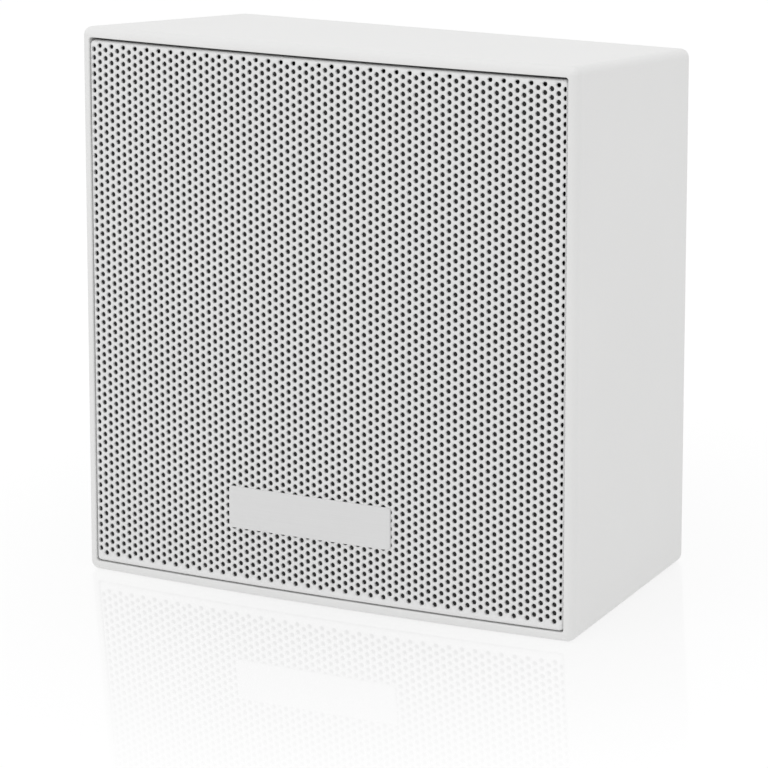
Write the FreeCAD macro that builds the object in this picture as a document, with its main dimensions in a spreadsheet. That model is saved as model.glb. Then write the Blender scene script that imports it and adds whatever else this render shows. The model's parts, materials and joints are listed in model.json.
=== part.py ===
"""Square garden loudspeaker: a drafted, moulded cabinet with a flush perforated steel grille.

The pieces are drawn in the cabinet's own directions: X to the right, Y from the front plane
backwards, Z up the front from its lower edge. At the end all of them are stood on the cabinet's
drafted bottom wall, which leans the front back by the draft angle.
"""
import FreeCAD
import Part
import math
import os
import re

import Sketcher

SIZES = {
    # Cabinet: the four sides draw in towards the back
    "cabinet_width": 236.0,
    "cabinet_height": 236.0,
    "cabinet_depth": 120.0,
    "side_draft": 7.9,
    "edge_radius": 3.8,
    "rim_width": 4.7,
    "opening_corner": 1.2,
    "rim_lip_radius": 0.6,
    "side_wall": 6.0,
    "back_wall": 6.0,
    # Bosses and screws that hold the baffle
    "boss_radius": 5.0,
    "boss_rib": 3.0,
    "screw_inset": 11.0,
    "screw_spread": 50.0,
    "screw_radius": 2.0,
    "screw_length": 28.0,
    "screw_head": 2.4,
    "screw_head_radius": 3.5,
    "screw_fit": 0.15,
    "screw_end_room": 2.0,
    # Grille: one folded sheet with a staggered field of holes, resting low in its opening
    "seam_gap": 0.8,
    "seam_side": 0.35,
    "grille_drop": 0.4,
    "grille_recess": 0.1,
    "grille_fold": 10.9,
    "grille_sheet": 0.8,
    "grille_corner": 1.8,
    "grille_bend": 1.6,
    "hole_pitch": 13.0,
    "hole_radius": 4.0,
    "hole_margin": 3.0,
    "cloth_thickness": 0.5,
    "cloth_inset": 2.0,
    # Badge plate
    "badge_width": 78.0,
    "badge_height": 17.8,
    "badge_thickness": 1.0,
    "badge_corner": 1.6,
    "badge_edge": 0.35,
    "badge_rise": 38.5,
    "badge_shift": -4.4,
    # Baffle
    "baffle_step": 3.0,
    "baffle_flange": 8.0,
    "baffle_fit": 0.4,
    "baffle_corner": 2.0,
    "seal_thickness": 1.5,
    "seal_width": 17.0,
    "driver_gap": 5.0,
    "driver_fit": 0.4,
    # Woofer: radii about its axis, depths from its mounting face
    "woofer_rebate": 4.0,
    "woofer_flange_radius": 64.0,
    "woofer_screw_circle": 60.4,
    "woofer_screw_radius": 1.6,
    "woofer_screw_head_radius": 2.6,
    "woofer_screw_length": 6.0,
    "basket_sheet": 1.5,
    "basket_mouth": 52.0,
    "basket_waist": 40.0,
    "basket_shelf": 32.0,
    "basket_neck": 30.0,
    "basket_hole": 15.0,
    "shelf_depth": 13.0,
    "basket_depth": 22.0,
    "window_margin": 2.0,
    "window_angle": 40.0,
    "roll_middle": 49.5,
    "roll_radius": 3.5,
    "surround_sheet": 0.6,
    "surround_lip": 4.0,
    "gasket_width": 3.2,
    "gasket_thickness": 2.5,
    "gasket_gap": 0.4,
    "cone_sheet": 0.9,
    "cone_land": 3.0,
    "cone_neck_depth": 9.0,
    "cap_radius": 18.0,
    "cap_rise": 6.0,
    "cap_sheet": 0.6,
    "spider_sheet": 0.5,
    "spider_wave": 0.9,
    "spider_lip": 6.0,
    "spider_gap": 0.3,
    "pole_radius": 12.2,
    "pole_vent": 4.0,
    "coil_inner_gap": 0.5,
    "coil_outer_gap": 0.6,
    "former_sheet": 0.3,
    "former_tail": 0.5,
    "winding_thickness": 0.6,
    "winding_length": 11.0,
    "top_plate_thickness": 5.0,
    "top_plate_radius": 31.0,
    "magnet_bore": 18.0,
    "magnet_radius": 36.0,
    "magnet_thickness": 15.0,
    "yoke_radius": 34.0,
    "yoke_thickness": 5.0,
    # Tweeter: radii about its axis, depths from its mounting face
    "tweeter_plate_radius": 26.0,
    "tweeter_plate_thickness": 3.5,
    "tweeter_horn_mouth": 19.5,
    "tweeter_horn_throat": 15.8,
    "tweeter_screw_circle": 23.0,
    "tweeter_screw_radius": 1.2,
    "tweeter_screw_head_radius": 2.0,
    "tweeter_screw_head": 1.2,
    "tweeter_screw_length": 8.0,
    "dome_radius": 12.4,
    "dome_rise": 3.4,
    "dome_sheet": 0.35,
    "dome_roll": 1.4,
    "dome_lip": 17.5,
    "dome_coil_length": 4.5,
    "dome_coil_gap": 0.4,
    "tweeter_magnet_bore": 14.5,
    "tweeter_magnet_radius": 19.0,
    "tweeter_top_thickness": 3.0,
    "tweeter_magnet_thickness": 7.0,
    "tweeter_yoke_thickness": 3.0,
    # Bass port
    "port_across": 70.0,
    "port_radius": 17.0,
    "port_wall": 2.0,
    "port_flange_radius": 22.5,
    "port_flange": 2.5,
    "port_flare": 3.5,
    "port_length": 60.0,
    "port_fit": 0.2,
    # Tag strips and wires
    "strip_thickness": 1.5,
    "strip_width": 18.0,
    "strip_height": 14.0,
    "tag_spread": 5.0,
    "tag_width": 3.0,
    "tag_thickness": 0.8,
    "tag_length": 12.0,
    "pin_radius": 1.0,
    "pin_length": 7.0,
    "pin_drop": 8.0,
    "wire_radius": 0.9,
    "wire_bend": 7.0,
    "wire_lead": 11.0,
    # Crossover on standoffs at the back wall
    "standoff_height": 8.0,
    "standoff_radius": 4.0,
    "board_width": 96.0,
    "board_height": 64.0,
    "board_thickness": 1.6,
    "board_rise": 32.0,
    "board_screw_inset": 5.0,
    "board_screw_radius": 1.4,
    "board_screw_head_radius": 2.5,
    "board_screw_head": 1.8,
    "board_screw_length": 8.0,
    "coil_across": 28.0,
    "inductor_radius": 14.0,
    "inductor_bore": 7.0,
    "inductor_height": 14.0,
    "inductor_rise": 14.0,
    "capacitor_radius": 6.0,
    "capacitor_length": 28.0,
    "capacitor_drop": 16.0,
    "resistor_length": 22.0,
    "resistor_side": 8.0,
    "resistor_drop": 5.0,
    "input_wire_drop": 22.0,
    "tweeter_wire_rise": 18.0,
    # Terminal cup in the back wall
    "cup_rise": 52.0,
    "cup_flange_width": 74.0,
    "cup_flange_height": 54.0,
    "cup_flange": 4.0,
    "cup_flange_corner": 5.0,
    "cup_mouth_width": 56.0,
    "cup_mouth_height": 36.0,
    "cup_depth": 22.0,
    "cup_draft": 3.0,
    "cup_wall": 2.0,
    "cup_fit": 0.4,
    "cup_seal": 1.0,
    "cup_frame": 7.0,
    "cup_frame_border": 5.0,
    "cup_screw_inset": 4.5,
    "cup_screw_radius": 1.4,
    "cup_screw_head_radius": 2.6,
    "cup_screw_head": 1.9,
    "cup_screw_sink": 2.2,
    "cup_screw_length": 8.0,
    "terminal_width": 26.0,
    "terminal_height": 13.0,
    "terminal_depth": 12.0,
    "terminal_pitch": 6.5,
    "terminal_well": 2.5,
    "terminal_well_depth": 8.0,
    "terminal_entry": 5.0,
    "terminal_entry_depth": 8.0,
    "terminal_entry_level": 3.0,
    "clamp_radius": 2.2,
    "clamp_height": 4.0,
    "clamp_slot": 0.8,
    "clamp_slot_depth": 1.0,
    # Keyhole slots in the back wall
    "keyhole_spread": 60.0,
    "keyhole_drop": 47.0,
    "keyhole_entry": 4.5,
    "keyhole_slot": 2.6,
    "keyhole_rise": 11.0,
    "keyhole_skin": 3.0,
    "keyhole_room": 8.0,
    "keyhole_side": 1.5,
    "keyhole_cover": 2.0,
    # Damping foam on the side walls
    "foam_thickness": 10.0,
    "foam_fit": 0.3,
    "foam_start": 42.0,
    "foam_length": 54.0,
    "foam_gap": 12.0,
    "foam_height": 64.0,
}

CORNER_SIGNS = [(-1, -1), (1, -1), (1, 1), (-1, 1)]
SHEET_NAME = "Sizes"
DOC = FreeCAD.newDocument("garden_speaker")
SHEET = DOC.addObject("Spreadsheet::Sheet", SHEET_NAME)
PARTS = []

# Levels along the depth, from the front plane backwards
SEAT = "(grille_recess + grille_fold)"
BAFFLE_FACE = f"({SEAT} - baffle_step)"
BAFFLE_BACK = f"({SEAT} + baffle_flange)"
LEDGE = f"({BAFFLE_BACK} + seal_thickness)"
BACK = "cabinet_depth"
INNER_BACK = "(cabinet_depth - back_wall)"
WOOFER_SEAT = f"({BAFFLE_FACE} + woofer_rebate)"
TWEETER_SEAT = f"({BAFFLE_FACE} + tweeter_plate_thickness)"
BOARD_BACK = f"({INNER_BACK} - standoff_height)"
BOARD_FACE = f"({BOARD_BACK} - board_thickness)"
CUP_FLOOR = "(cabinet_depth - cup_depth + cup_wall)"

# Half widths and heights of what nests in the front opening
OPEN_X = "(cabinet_width / 2 - rim_width)"
OPEN_Z = "(cabinet_height / 2 - rim_width)"
GRILLE_X = f"({OPEN_X} - seam_side)"
GRILLE_Z = f"({OPEN_Z} - seam_gap)"
OPEN_CORNER = "opening_corner"
FLANGE_X = f"({OPEN_X} - baffle_fit)"
FLANGE_Z = f"({OPEN_Z} - baffle_fit)"
FLANGE_CORNER = f"({OPEN_CORNER} - baffle_fit)"
SCREW_X = f"({OPEN_X} - screw_inset)"
SCREW_Z = f"({OPEN_Z} - screw_inset)"

# Heights up the front: the two drivers stand one above the other, centred as a pair
MIDDLE = "(cabinet_height / 2)"
GRILLE_MIDDLE = f"({MIDDLE} - grille_drop)"
WOOFER_HOLE = "(woofer_flange_radius + driver_fit)"
TWEETER_HOLE = "(tweeter_plate_radius + driver_fit)"
WOOFER_Z = f"({MIDDLE} - driver_gap / 2 - {TWEETER_HOLE})"
TWEETER_Z = f"({MIDDLE} + driver_gap / 2 + {WOOFER_HOLE})"
BOARD_Z = f"({MIDDLE} + board_rise)"
CUP_Z = "cup_rise"
KEYHOLE_Z = "(cabinet_height - keyhole_drop)"

# Levels and radii inside the woofer
FLANGE_FACE = f"({WOOFER_SEAT} - basket_sheet)"
SHELF_FACE = f"({WOOFER_SEAT} + shelf_depth)"
SHELF_BACK = f"({SHELF_FACE} + basket_sheet)"
PLATE_FACE = f"({WOOFER_SEAT} + basket_depth + basket_sheet)"
MAGNET_FACE = f"({PLATE_FACE} + top_plate_thickness)"
YOKE_FACE = f"({MAGNET_FACE} + magnet_thickness)"
YOKE_BACK = f"({YOKE_FACE} + yoke_thickness)"
CONE_NECK = f"({WOOFER_SEAT} + cone_neck_depth)"
CONE_EDGE = "(roll_middle - roll_radius)"
CONE_BEND = f"({CONE_EDGE} - cone_land)"
FORMER_BORE = "(pole_radius + coil_inner_gap)"
FORMER_SKIN = f"({FORMER_BORE} + former_sheet)"
WINDING_SKIN = f"({FORMER_SKIN} + winding_thickness)"
PLATE_BORE = f"({WINDING_SKIN} + coil_outer_gap)"
WINDING_MIDDLE = f"({PLATE_FACE} + top_plate_thickness / 2)"

# Levels inside the tweeter
DOME_BACK = f"({TWEETER_SEAT} + dome_sheet)"
TWEETER_MAGNET_FACE = f"({DOME_BACK} + tweeter_top_thickness)"
TWEETER_YOKE_FACE = f"({TWEETER_MAGNET_FACE} + tweeter_magnet_thickness)"
TWEETER_BACK = f"({TWEETER_YOKE_FACE} + tweeter_yoke_thickness)"


# Sheet and expressions


def fill_sheet():
    """Writes every driving size into the sheet as a plain number with an alias."""
    for row, (name, size) in enumerate(SIZES.items(), start=1):
        SHEET.set(f"A{row}", name)
        SHEET.set(f"B{row}", str(size))
        SHEET.setAlias(f"B{row}", name)
    DOC.recompute()


def bound(text):
    """Turns an expression in size names into one that reads the sheet's cells."""
    return re.sub(r"[a-z_]+", lambda m: f"{SHEET_NAME}.{m[0]}" if m[0] in SIZES else m[0], text)


def value(text):
    """Gives the present value of an expression in size names."""
    return float(SHEET.evalExpression(bound(text)))


def times(sign, text):
    """Writes an expression with a sign in front of it."""
    return f"({sign} * {text})"


# Outlines: a corner is (across, up); an arc step adds its centre and its turning sense


def block(middle_x, middle_z, half_x, half_z):
    """Outline of a rectangle."""
    left = f"({middle_x} - {half_x})"
    right = f"({middle_x} + {half_x})"
    low = f"({middle_z} - {half_z})"
    high = f"({middle_z} + {half_z})"
    return [(left, low), (right, low), (right, high), (left, high)]


def rounded(middle_x, middle_z, half_x, half_z, corner):
    """Outline of a rectangle with round corners."""
    left = f"({middle_x} - {half_x})"
    right = f"({middle_x} + {half_x})"
    low = f"({middle_z} - {half_z})"
    high = f"({middle_z} + {half_z})"
    near_left = f"({left} + {corner})"
    near_right = f"({right} - {corner})"
    near_low = f"({low} + {corner})"
    near_high = f"({high} - {corner})"
    return [
        (near_right, low),
        (right, near_low, near_right, near_low, "left"),
        (right, near_high),
        (near_right, high, near_right, near_high, "left"),
        (near_left, high),
        (left, near_high, near_left, near_high, "left"),
        (left, near_low),
        (near_left, low, near_left, near_low, "left"),
    ]


def band(inner, outer, start, end):
    """Section of a plain ring about an axis."""
    return [(inner, start), (outer, start), (outer, end), (inner, end)]


def tie(sketch, kind, item, point, text):
    """Holds one coordinate of a sketch point to an expression."""
    number = sketch.addConstraint(Sketcher.Constraint(kind, item, point, value(text)))
    sketch.setExpression(f"Constraints[{number}]", bound(text))


def draw_circle(sketch, ring):
    """Draws a circle whose centre and radius follow the sheet."""
    across, up, radius = ring
    centre = FreeCAD.Vector(value(across), value(up), 0)
    item = sketch.addGeometry(Part.Circle(centre, FreeCAD.Vector(0, 0, 1), value(radius)))
    tie(sketch, "DistanceX", item, 3, across)
    tie(sketch, "DistanceY", item, 3, up)
    number = sketch.addConstraint(Sketcher.Constraint("Radius", item, value(radius)))
    sketch.setExpression(f"Constraints[{number}]", bound(radius))


def draw_side(sketch, step, start, end):
    """Draws one side of an outline and says which of its points are its start and its end."""
    if len(step) == 2:
        return sketch.addGeometry(Part.LineSegment(start, end)), 1, 2
    centre = FreeCAD.Vector(value(step[2]), value(step[3]), 0)
    circle = Part.Circle(centre, FreeCAD.Vector(0, 0, 1), start.distanceToPoint(centre))
    from_angle = math.atan2(start.y - centre.y, start.x - centre.x)
    to_angle = math.atan2(end.y - centre.y, end.x - centre.x)
    if step[4] == "left":
        return sketch.addGeometry(Part.ArcOfCircle(circle, from_angle, to_angle)), 1, 2
    return sketch.addGeometry(Part.ArcOfCircle(circle, to_angle, from_angle)), 2, 1


def draw_outline(sketch, path):
    """Draws a closed outline of lines and arcs whose corners and centres follow the sheet."""
    corners = [FreeCAD.Vector(value(step[0]), value(step[1]), 0) for step in path]
    starts = corners[-1:] + corners[:-1]
    sides = [draw_side(sketch, *side) for side in zip(path, starts, corners)]
    for number, (item, _, end) in enumerate(sides):
        following, following_start, _ = sides[(number + 1) % len(sides)]
        sketch.addConstraint(Sketcher.Constraint("Coincident", item, end, following, following_start))
    for step, corner, (item, _, end) in zip(path, corners, sides):
        axes = ["DistanceX", "DistanceY"]
        if len(step) > 2:
            tie(sketch, "DistanceX", item, 3, step[2])
            tie(sketch, "DistanceY", item, 3, step[3])
            spoke_x = abs(corner.x - value(step[2]))
            spoke_y = abs(corner.y - value(step[3]))
            axes.remove("DistanceX" if spoke_x > spoke_y else "DistanceY")
        for axis in axes:
            tie(sketch, axis, item, end, step[0] if axis == "DistanceX" else step[1])


# Features

PLANES = {"X": ("YZ_Plane", 1), "Y": ("XZ_Plane", -1), "Z": ("XY_Plane", 1)}


def new_body(label):
    """Starts a sub-part that may hold several like solids."""
    body = DOC.addObject("PartDesign::Body", label)
    body.Label = label
    body.AllowCompound = True
    PARTS.append(body)
    return body


def new_sketch(body, axis, level, loops):
    """Draws loops on the plane that crosses an axis at a level."""
    role, sense = PLANES[axis]
    plane = next(item for item in body.Origin.OriginFeatures if item.Role == role)
    sketch = body.newObject("Sketcher::SketchObject", "Outline")
    sketch.AttachmentSupport = [(plane, "")]
    sketch.MapMode = "FlatFace"
    sketch.setExpression("AttachmentOffset.Base.z", bound(times(sense, f"({level})")))
    for loop in loops:
        if isinstance(loop, tuple):
            draw_circle(sketch, loop)
        else:
            draw_outline(sketch, loop)
    return sketch


def pad(body, loops, start, end, axis="Y"):
    """Adds material from one level to a higher one along an axis."""
    sketch = new_sketch(body, axis, start, loops)
    feature = body.newObject("PartDesign::Pad", "Pad")
    feature.Profile = sketch
    feature.Reversed = axis == "Y"
    feature.setExpression("Length", bound(f"({end}) - ({start})"))
    DOC.recompute()
    return feature


def pocket(body, loops, start, end, axis="Y"):
    """Takes material away from one level to a higher one along an axis."""
    before = body.Shape.Volume
    sketch = new_sketch(body, axis, start, loops)
    feature = body.newObject("PartDesign::Pocket", "Pocket")
    feature.Profile = sketch
    feature.Reversed = axis != "Y"
    feature.setExpression("Length", bound(f"({end}) - ({start})"))
    DOC.recompute()
    if body.Shape.Volume >= before:
        raise ValueError(f"a pocket of {body.Label} took nothing away")
    return feature


def taper(body, kind, middle_z, start, start_half, end, end_half):
    """Adds or takes away a block whose section changes evenly along the depth."""
    feature = body.newObject(f"PartDesign::{kind}Wedge", "Taper")
    sizes = {"Ymin": start, "Ymax": end}
    for suffix, (half_x, half_z) in (("", start_half), ("2", end_half)):
        sizes[f"X{suffix}min"] = f"(-{half_x})"
        sizes[f"X{suffix}max"] = half_x
        sizes[f"Z{suffix}min"] = f"({middle_z} - {half_z})"
        sizes[f"Z{suffix}max"] = f"({middle_z} + {half_z})"
    for name, text in sizes.items():
        feature.setExpression(name, bound(text))
    DOC.recompute()
    return feature


def round_edges(body, base, chosen, radius):
    """Rounds the edges of a feature that a test chooses."""
    names = [f"Edge{n}" for n, edge in enumerate(base.Shape.Edges, start=1) if chosen(edge.BoundBox)]
    feature = body.newObject("PartDesign::Fillet", "Round")
    feature.Base = (base, names)
    feature.setExpression("Radius", bound(radius))
    DOC.recompute()
    return feature


def at_level(level):
    """Gives a test for edges that lie wholly at one depth."""
    depth = value(level)
    return lambda box: abs(box.YMin - depth) < 1e-4 and abs(box.YMax - depth) < 1e-4


def turn(body, path, height, across="0"):
    """Adds a solid of revolution about an axis that runs along the depth."""
    sketch = new_sketch(body, "Z", height, [path])
    sketch.setExpression("AttachmentOffset.Base.x", bound(across))
    feature = body.newObject("PartDesign::Revolution", "Turn")
    feature.Profile = sketch
    feature.ReferenceAxis = (sketch, ["V_Axis"])
    feature.Angle = 360
    DOC.recompute()
    return feature


def turned(label, path, height, across="0"):
    """Makes a sub-part that is one solid of revolution."""
    body = new_body(label)
    turn(body, path, height, across)
    return body


def discs(places, radius):
    """Gives one circle of the same radius at each place."""
    return [(across, up, radius) for across, up in places]


def screws(label, places, seat, sense, head, head_radius, length, radius):
    """Makes like pan-head screws whose heads sit on a level and whose shanks run the given way."""
    body = new_body(label)
    head_end = f"({seat} - {sense} * {head})"
    tip = f"({seat} + {sense} * {length})"
    spans = [(head_end, seat, head_radius), (seat, tip, radius)]
    for start, end, size in spans:
        low, high = (start, end) if sense > 0 else (end, start)
        pad(body, discs(places, size), low, high)
    return body


def wire_tube(across, route):
    """Makes one wire: straight runs in a plane across X, joined by tangent arcs."""
    points = [FreeCAD.Vector(across, value(depth), value(up)) for depth, up in route]
    bend = value("wire_bend")
    edges = []
    start = points[0]
    for before, corner, after in zip(points, points[1:], points[2:]):
        back = (before - corner).normalize()
        ahead = (after - corner).normalize()
        half = back.getAngle(ahead) / 2
        reach = bend / math.tan(half)
        towards = (back + ahead).normalize()
        arc_start = corner + back * reach
        arc_end = corner + ahead * reach
        arc_middle = corner + towards * (bend / math.sin(half) - bend)
        edges.append(Part.LineSegment(start, arc_start).toShape())
        edges.append(Part.Arc(arc_start, arc_middle, arc_end).toShape())
        start = arc_end
    edges.append(Part.LineSegment(start, points[-1]).toShape())
    path = Part.Wire(edges)
    radius = value("wire_radius")
    section = Part.Wire(Part.Circle(points[0], points[1] - points[0], radius).toShape())
    tube = path.makePipeShell([section], True, True)
    expected = math.pi * radius ** 2 * path.Length
    if abs(tube.Volume - expected) > 0.01 * expected:
        raise ValueError("a wire came out with the wrong volume")
    return tube


def wire_pair(label, spread, route):
    """Makes a pair of like wires side by side."""
    feature = DOC.addObject("Part::Feature", label)
    feature.Label = label
    feature.Shape = Part.makeCompound([wire_tube(sign * value(spread), route) for sign in (-1, 1)])
    PARTS.append(feature)


# Places that more than one sub-part shares


def baffle_screw_places():
    """Four corners, the middle of the two sides, and a pair each along the top and the bottom."""
    places = [(times(x, SCREW_X), f"({MIDDLE} + {z} * {SCREW_Z})") for x, z in CORNER_SIGNS]
    places += [(times(x, SCREW_X), MIDDLE) for x in (-1, 1)]
    places += [(times(x, "screw_spread"), f"({MIDDLE} + {z} * {SCREW_Z})") for x, z in CORNER_SIGNS]
    return places


def circle_places(middle_z, radius, first_angle, count):
    """Evenly spaced places on a circle about a driver's axis."""
    angles = [first_angle + 360 * n / count for n in range(count)]
    return [(f"({radius} * cos({a}))", f"({middle_z} + {radius} * sin({a}))") for a in angles]


def corner_places(middle_z, half_x, half_z):
    """The four corners of a rectangle centred across the part."""
    return [(times(x, half_x), f"({middle_z} + {z} * {half_z})") for x, z in CORNER_SIGNS]


WOOFER_SCREWS = circle_places(WOOFER_Z, "woofer_screw_circle", 45, 4)
TWEETER_SCREWS = circle_places(TWEETER_Z, "tweeter_screw_circle", 45, 4)
BOARD_SCREWS = corner_places(
    BOARD_Z,
    "(board_width / 2 - board_screw_inset)",
    "(board_height / 2 - board_screw_inset)",
)
CUP_SCREWS = corner_places(
    CUP_Z,
    "(cup_flange_width / 2 - cup_screw_inset)",
    "(cup_flange_height / 2 - cup_screw_inset)",
)
TERMINALS = [times(-1, "terminal_pitch"), times(1, "terminal_pitch")]
TAGS = [times(-1, "tag_spread"), times(1, "tag_spread")]


# Cabinet


def wall_half(level):
    """Half width and half height of the cavity at a depth, inside the drafted walls."""
    drawn_in = f"side_draft * ({level}) / cabinet_depth + side_wall"
    return f"(cabinet_width / 2 - ({drawn_in}))", f"(cabinet_height / 2 - ({drawn_in}))"


def cabinet():
    """Moulded tub: drafted walls, round edges, a ledge for the baffle, bosses, and a closed back."""
    body = new_body("cabinet")
    front = ("cabinet_width / 2", "cabinet_height / 2")
    drawn = ("(cabinet_width / 2 - side_draft)", "(cabinet_height / 2 - side_draft)")
    shell = taper(body, "Additive", MIDDLE, "0", front, BACK, drawn)
    round_edges(body, shell, lambda box: True, "edge_radius")
    opening = rounded("0", MIDDLE, OPEN_X, OPEN_Z, OPEN_CORNER)
    mouth = pocket(body, [opening], "0", LEDGE)
    front_edge = at_level("0")
    reach = value(OPEN_X) + value("rim_lip_radius")
    round_edges(
        body,
        mouth,
        lambda box: front_edge(box) and max(-box.XMin, box.XMax) < reach and is_lip(box),
        "rim_lip_radius",
    )
    taper(body, "Subtractive", MIDDLE, LEDGE, wall_half(LEDGE), INNER_BACK, wall_half(INNER_BACK))
    cabinet_bosses(body)
    cabinet_cup_seat(body)
    cabinet_keyholes(body)


def is_lip(box):
    """Tells the opening's edges from the outer edges by their height."""
    low = value(MIDDLE) - value(OPEN_Z) - value("rim_lip_radius")
    high = value(MIDDLE) + value(OPEN_Z) + value("rim_lip_radius")
    return box.ZMin > low and box.ZMax < high


def cabinet_bosses(body):
    """Adds the baffle's screw bosses with their ribs, and the board's standoffs."""
    places = baffle_screw_places()
    pad(body, discs(places, "boss_radius"), LEDGE, INNER_BACK)
    wall_x = "(cabinet_width / 2 - side_draft)"
    wall_z = "(cabinet_height / 2 - side_draft)"
    rib = "boss_rib / 2"
    side_ribs = []
    level_ribs = []
    for x, z in CORNER_SIGNS + [(-1, 0), (1, 0)]:
        middle = f"({x} * ({SCREW_X} + {wall_x}) / 2)"
        level = f"({MIDDLE} + {z} * {SCREW_Z})"
        side_ribs.append(block(middle, level, f"(({wall_x} - {SCREW_X}) / 2)", rib))
    for x, z in CORNER_SIGNS:
        middle = f"({MIDDLE} + {z} * ({SCREW_Z} + {wall_z}) / 2)"
        for across in (times(x, SCREW_X), times(x, "screw_spread")):
            level_ribs.append(block(across, middle, rib, f"(({wall_z} - {SCREW_Z}) / 2)"))
    pad(body, side_ribs, LEDGE, INNER_BACK)
    pad(body, level_ribs, LEDGE, INNER_BACK)
    tip = f"({BAFFLE_FACE} + screw_length + screw_end_room)"
    pocket(body, discs(places, "(screw_radius + screw_fit)"), LEDGE, tip)
    pad(body, discs(BOARD_SCREWS, "standoff_radius"), BOARD_BACK, INNER_BACK)
    hole = "(board_screw_radius + screw_fit)"
    pocket(body, discs(BOARD_SCREWS, hole), BOARD_BACK, f"({BOARD_FACE} + board_screw_length)")


def cabinet_cup_seat(body):
    """Thickens the back wall round the terminal cup and cuts its rebate, mouth and screw holes."""
    half_x = "cup_flange_width / 2"
    half_z = "cup_flange_height / 2"
    border = "cup_frame_border"
    frame = rounded("0", CUP_Z, f"({half_x} + {border})", f"({half_z} + {border})", "cup_flange_corner")
    frame_face = f"({INNER_BACK} - cup_frame)"
    pad(body, [frame], frame_face, INNER_BACK)
    rebate = rounded("0", CUP_Z, f"({half_x} + cup_fit)", f"({half_z} + cup_fit)", "cup_flange_corner")
    rebate_floor = f"({BACK} - cup_flange - cup_seal)"
    pocket(body, [rebate], rebate_floor, BACK)
    hole = block("0", CUP_Z, "(cup_mouth_width / 2 + cup_fit)", "(cup_mouth_height / 2 + cup_fit)")
    pocket(body, [hole], frame_face, rebate_floor)
    tip = f"({BACK} - cup_screw_sink - cup_screw_length)"
    pocket(body, discs(CUP_SCREWS, "(cup_screw_radius + screw_fit)"), tip, rebate_floor)


def keyhole_outline(across):
    """A round entry with a narrower slot that rises from it to a round end."""
    left = f"({across} - keyhole_slot)"
    right = f"({across} + keyhole_slot)"
    neck = f"({KEYHOLE_Z} + sqrt(keyhole_entry ^ 2 - keyhole_slot ^ 2))"
    top = f"({KEYHOLE_Z} + keyhole_rise)"
    return [
        (left, neck),
        (right, neck, across, KEYHOLE_Z, "left"),
        (right, top),
        (left, top, across, top, "left"),
    ]


def cabinet_keyholes(body):
    """Makes two hanging slots in the back wall, each with a closed room behind for the screw's head."""
    sides = [times(x, "keyhole_spread") for x in (-1, 1)]
    low = f"({KEYHOLE_Z} - keyhole_entry - keyhole_side)"
    high = f"({KEYHOLE_Z} + keyhole_rise + keyhole_entry + keyhole_side)"
    middle = f"(({low} + {high}) / 2)"
    half_z = f"(({high} - {low}) / 2)"
    half_x = "(keyhole_entry + keyhole_side)"
    room_back = f"({BACK} - keyhole_skin)"
    room_face = f"({room_back} - keyhole_room)"
    cover_x = f"({half_x} + keyhole_cover)"
    cover_z = f"({half_z} + keyhole_cover)"
    covers = [block(across, middle, cover_x, cover_z) for across in sides]
    pad(body, covers, f"({room_face} - keyhole_cover)", INNER_BACK)
    pocket(body, [block(across, middle, half_x, half_z) for across in sides], room_face, room_back)
    pocket(body, [keyhole_outline(across) for across in sides], room_back, BACK)


# Baffle and grille


def baffle():
    """Board that closes the tub: a flange on the ledge and a raised middle that the grille slides over."""
    body = new_body("baffle")
    flange = rounded("0", MIDDLE, FLANGE_X, FLANGE_Z, FLANGE_CORNER)
    pad(body, [flange], SEAT, BAFFLE_BACK)
    half_x = f"({GRILLE_X} - grille_sheet - baffle_fit)"
    half_z = f"({GRILLE_Z} - grille_sheet - baffle_fit)"
    pad(body, [rounded("0", GRILLE_MIDDLE, half_x, half_z, "baffle_corner")], BAFFLE_FACE, SEAT)
    pocket(body, [("0", WOOFER_Z, WOOFER_HOLE)], BAFFLE_FACE, WOOFER_SEAT)
    pocket(body, [("0", TWEETER_Z, TWEETER_HOLE)], BAFFLE_FACE, TWEETER_SEAT)
    holes = [
        ("0", WOOFER_Z, "(basket_mouth + basket_sheet + driver_fit)"),
        ("0", TWEETER_Z, "(tweeter_magnet_radius + driver_fit)"),
        ("port_across", TWEETER_Z, "(port_radius + port_wall + port_fit)"),
    ]
    holes += discs(baffle_screw_places(), "(screw_radius + screw_fit)")
    holes += discs(WOOFER_SCREWS, "(woofer_screw_radius + screw_fit)")
    holes += discs(TWEETER_SCREWS, "(tweeter_screw_radius + screw_fit)")
    pocket(body, holes, BAFFLE_FACE, BAFFLE_BACK)


def baffle_seal():
    """Foam ring between the baffle and the cabinet's ledge."""
    body = new_body("baffle_seal")
    outer = rounded("0", MIDDLE, FLANGE_X, FLANGE_Z, FLANGE_CORNER)
    inner = block("0", MIDDLE, f"({FLANGE_X} - seal_width)", f"({FLANGE_Z} - seal_width)")
    holes = discs(baffle_screw_places(), "(screw_radius + screw_fit)")
    pad(body, [outer, inner] + holes, BAFFLE_BACK, LEDGE)


def grille_holes():
    """Field of six-sided holes in columns, every second column half a pitch higher."""
    pitch = value("hole_pitch")
    column = pitch * math.cos(math.pi / 6)
    radius = value("hole_radius")
    reach_x = value(GRILLE_X) - value("hole_margin") - radius
    reach_z = value(GRILLE_Z) - value("hole_margin") - radius
    face = value("grille_recess")
    middle = value(GRILLE_MIDDLE)
    through = FreeCAD.Vector(0, 3 * value("grille_sheet"), 0)
    start = face - value("grille_sheet")
    columns = int(reach_x // column)
    rows = int(reach_z // pitch)
    prisms = []
    for i in range(-columns, columns + 1):
        lift = pitch / 2 if i % 2 else 0.0
        for j in range(-rows, rows + 1 - i % 2):
            centre = FreeCAD.Vector(i * column, start, middle + j * pitch + lift)
            prisms.append(six_sided(centre, radius).extrude(through))
    feature = DOC.addObject("Part::Feature", "grille_hole_field")
    feature.Shape = Part.makeCompound(prisms)
    return feature


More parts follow.
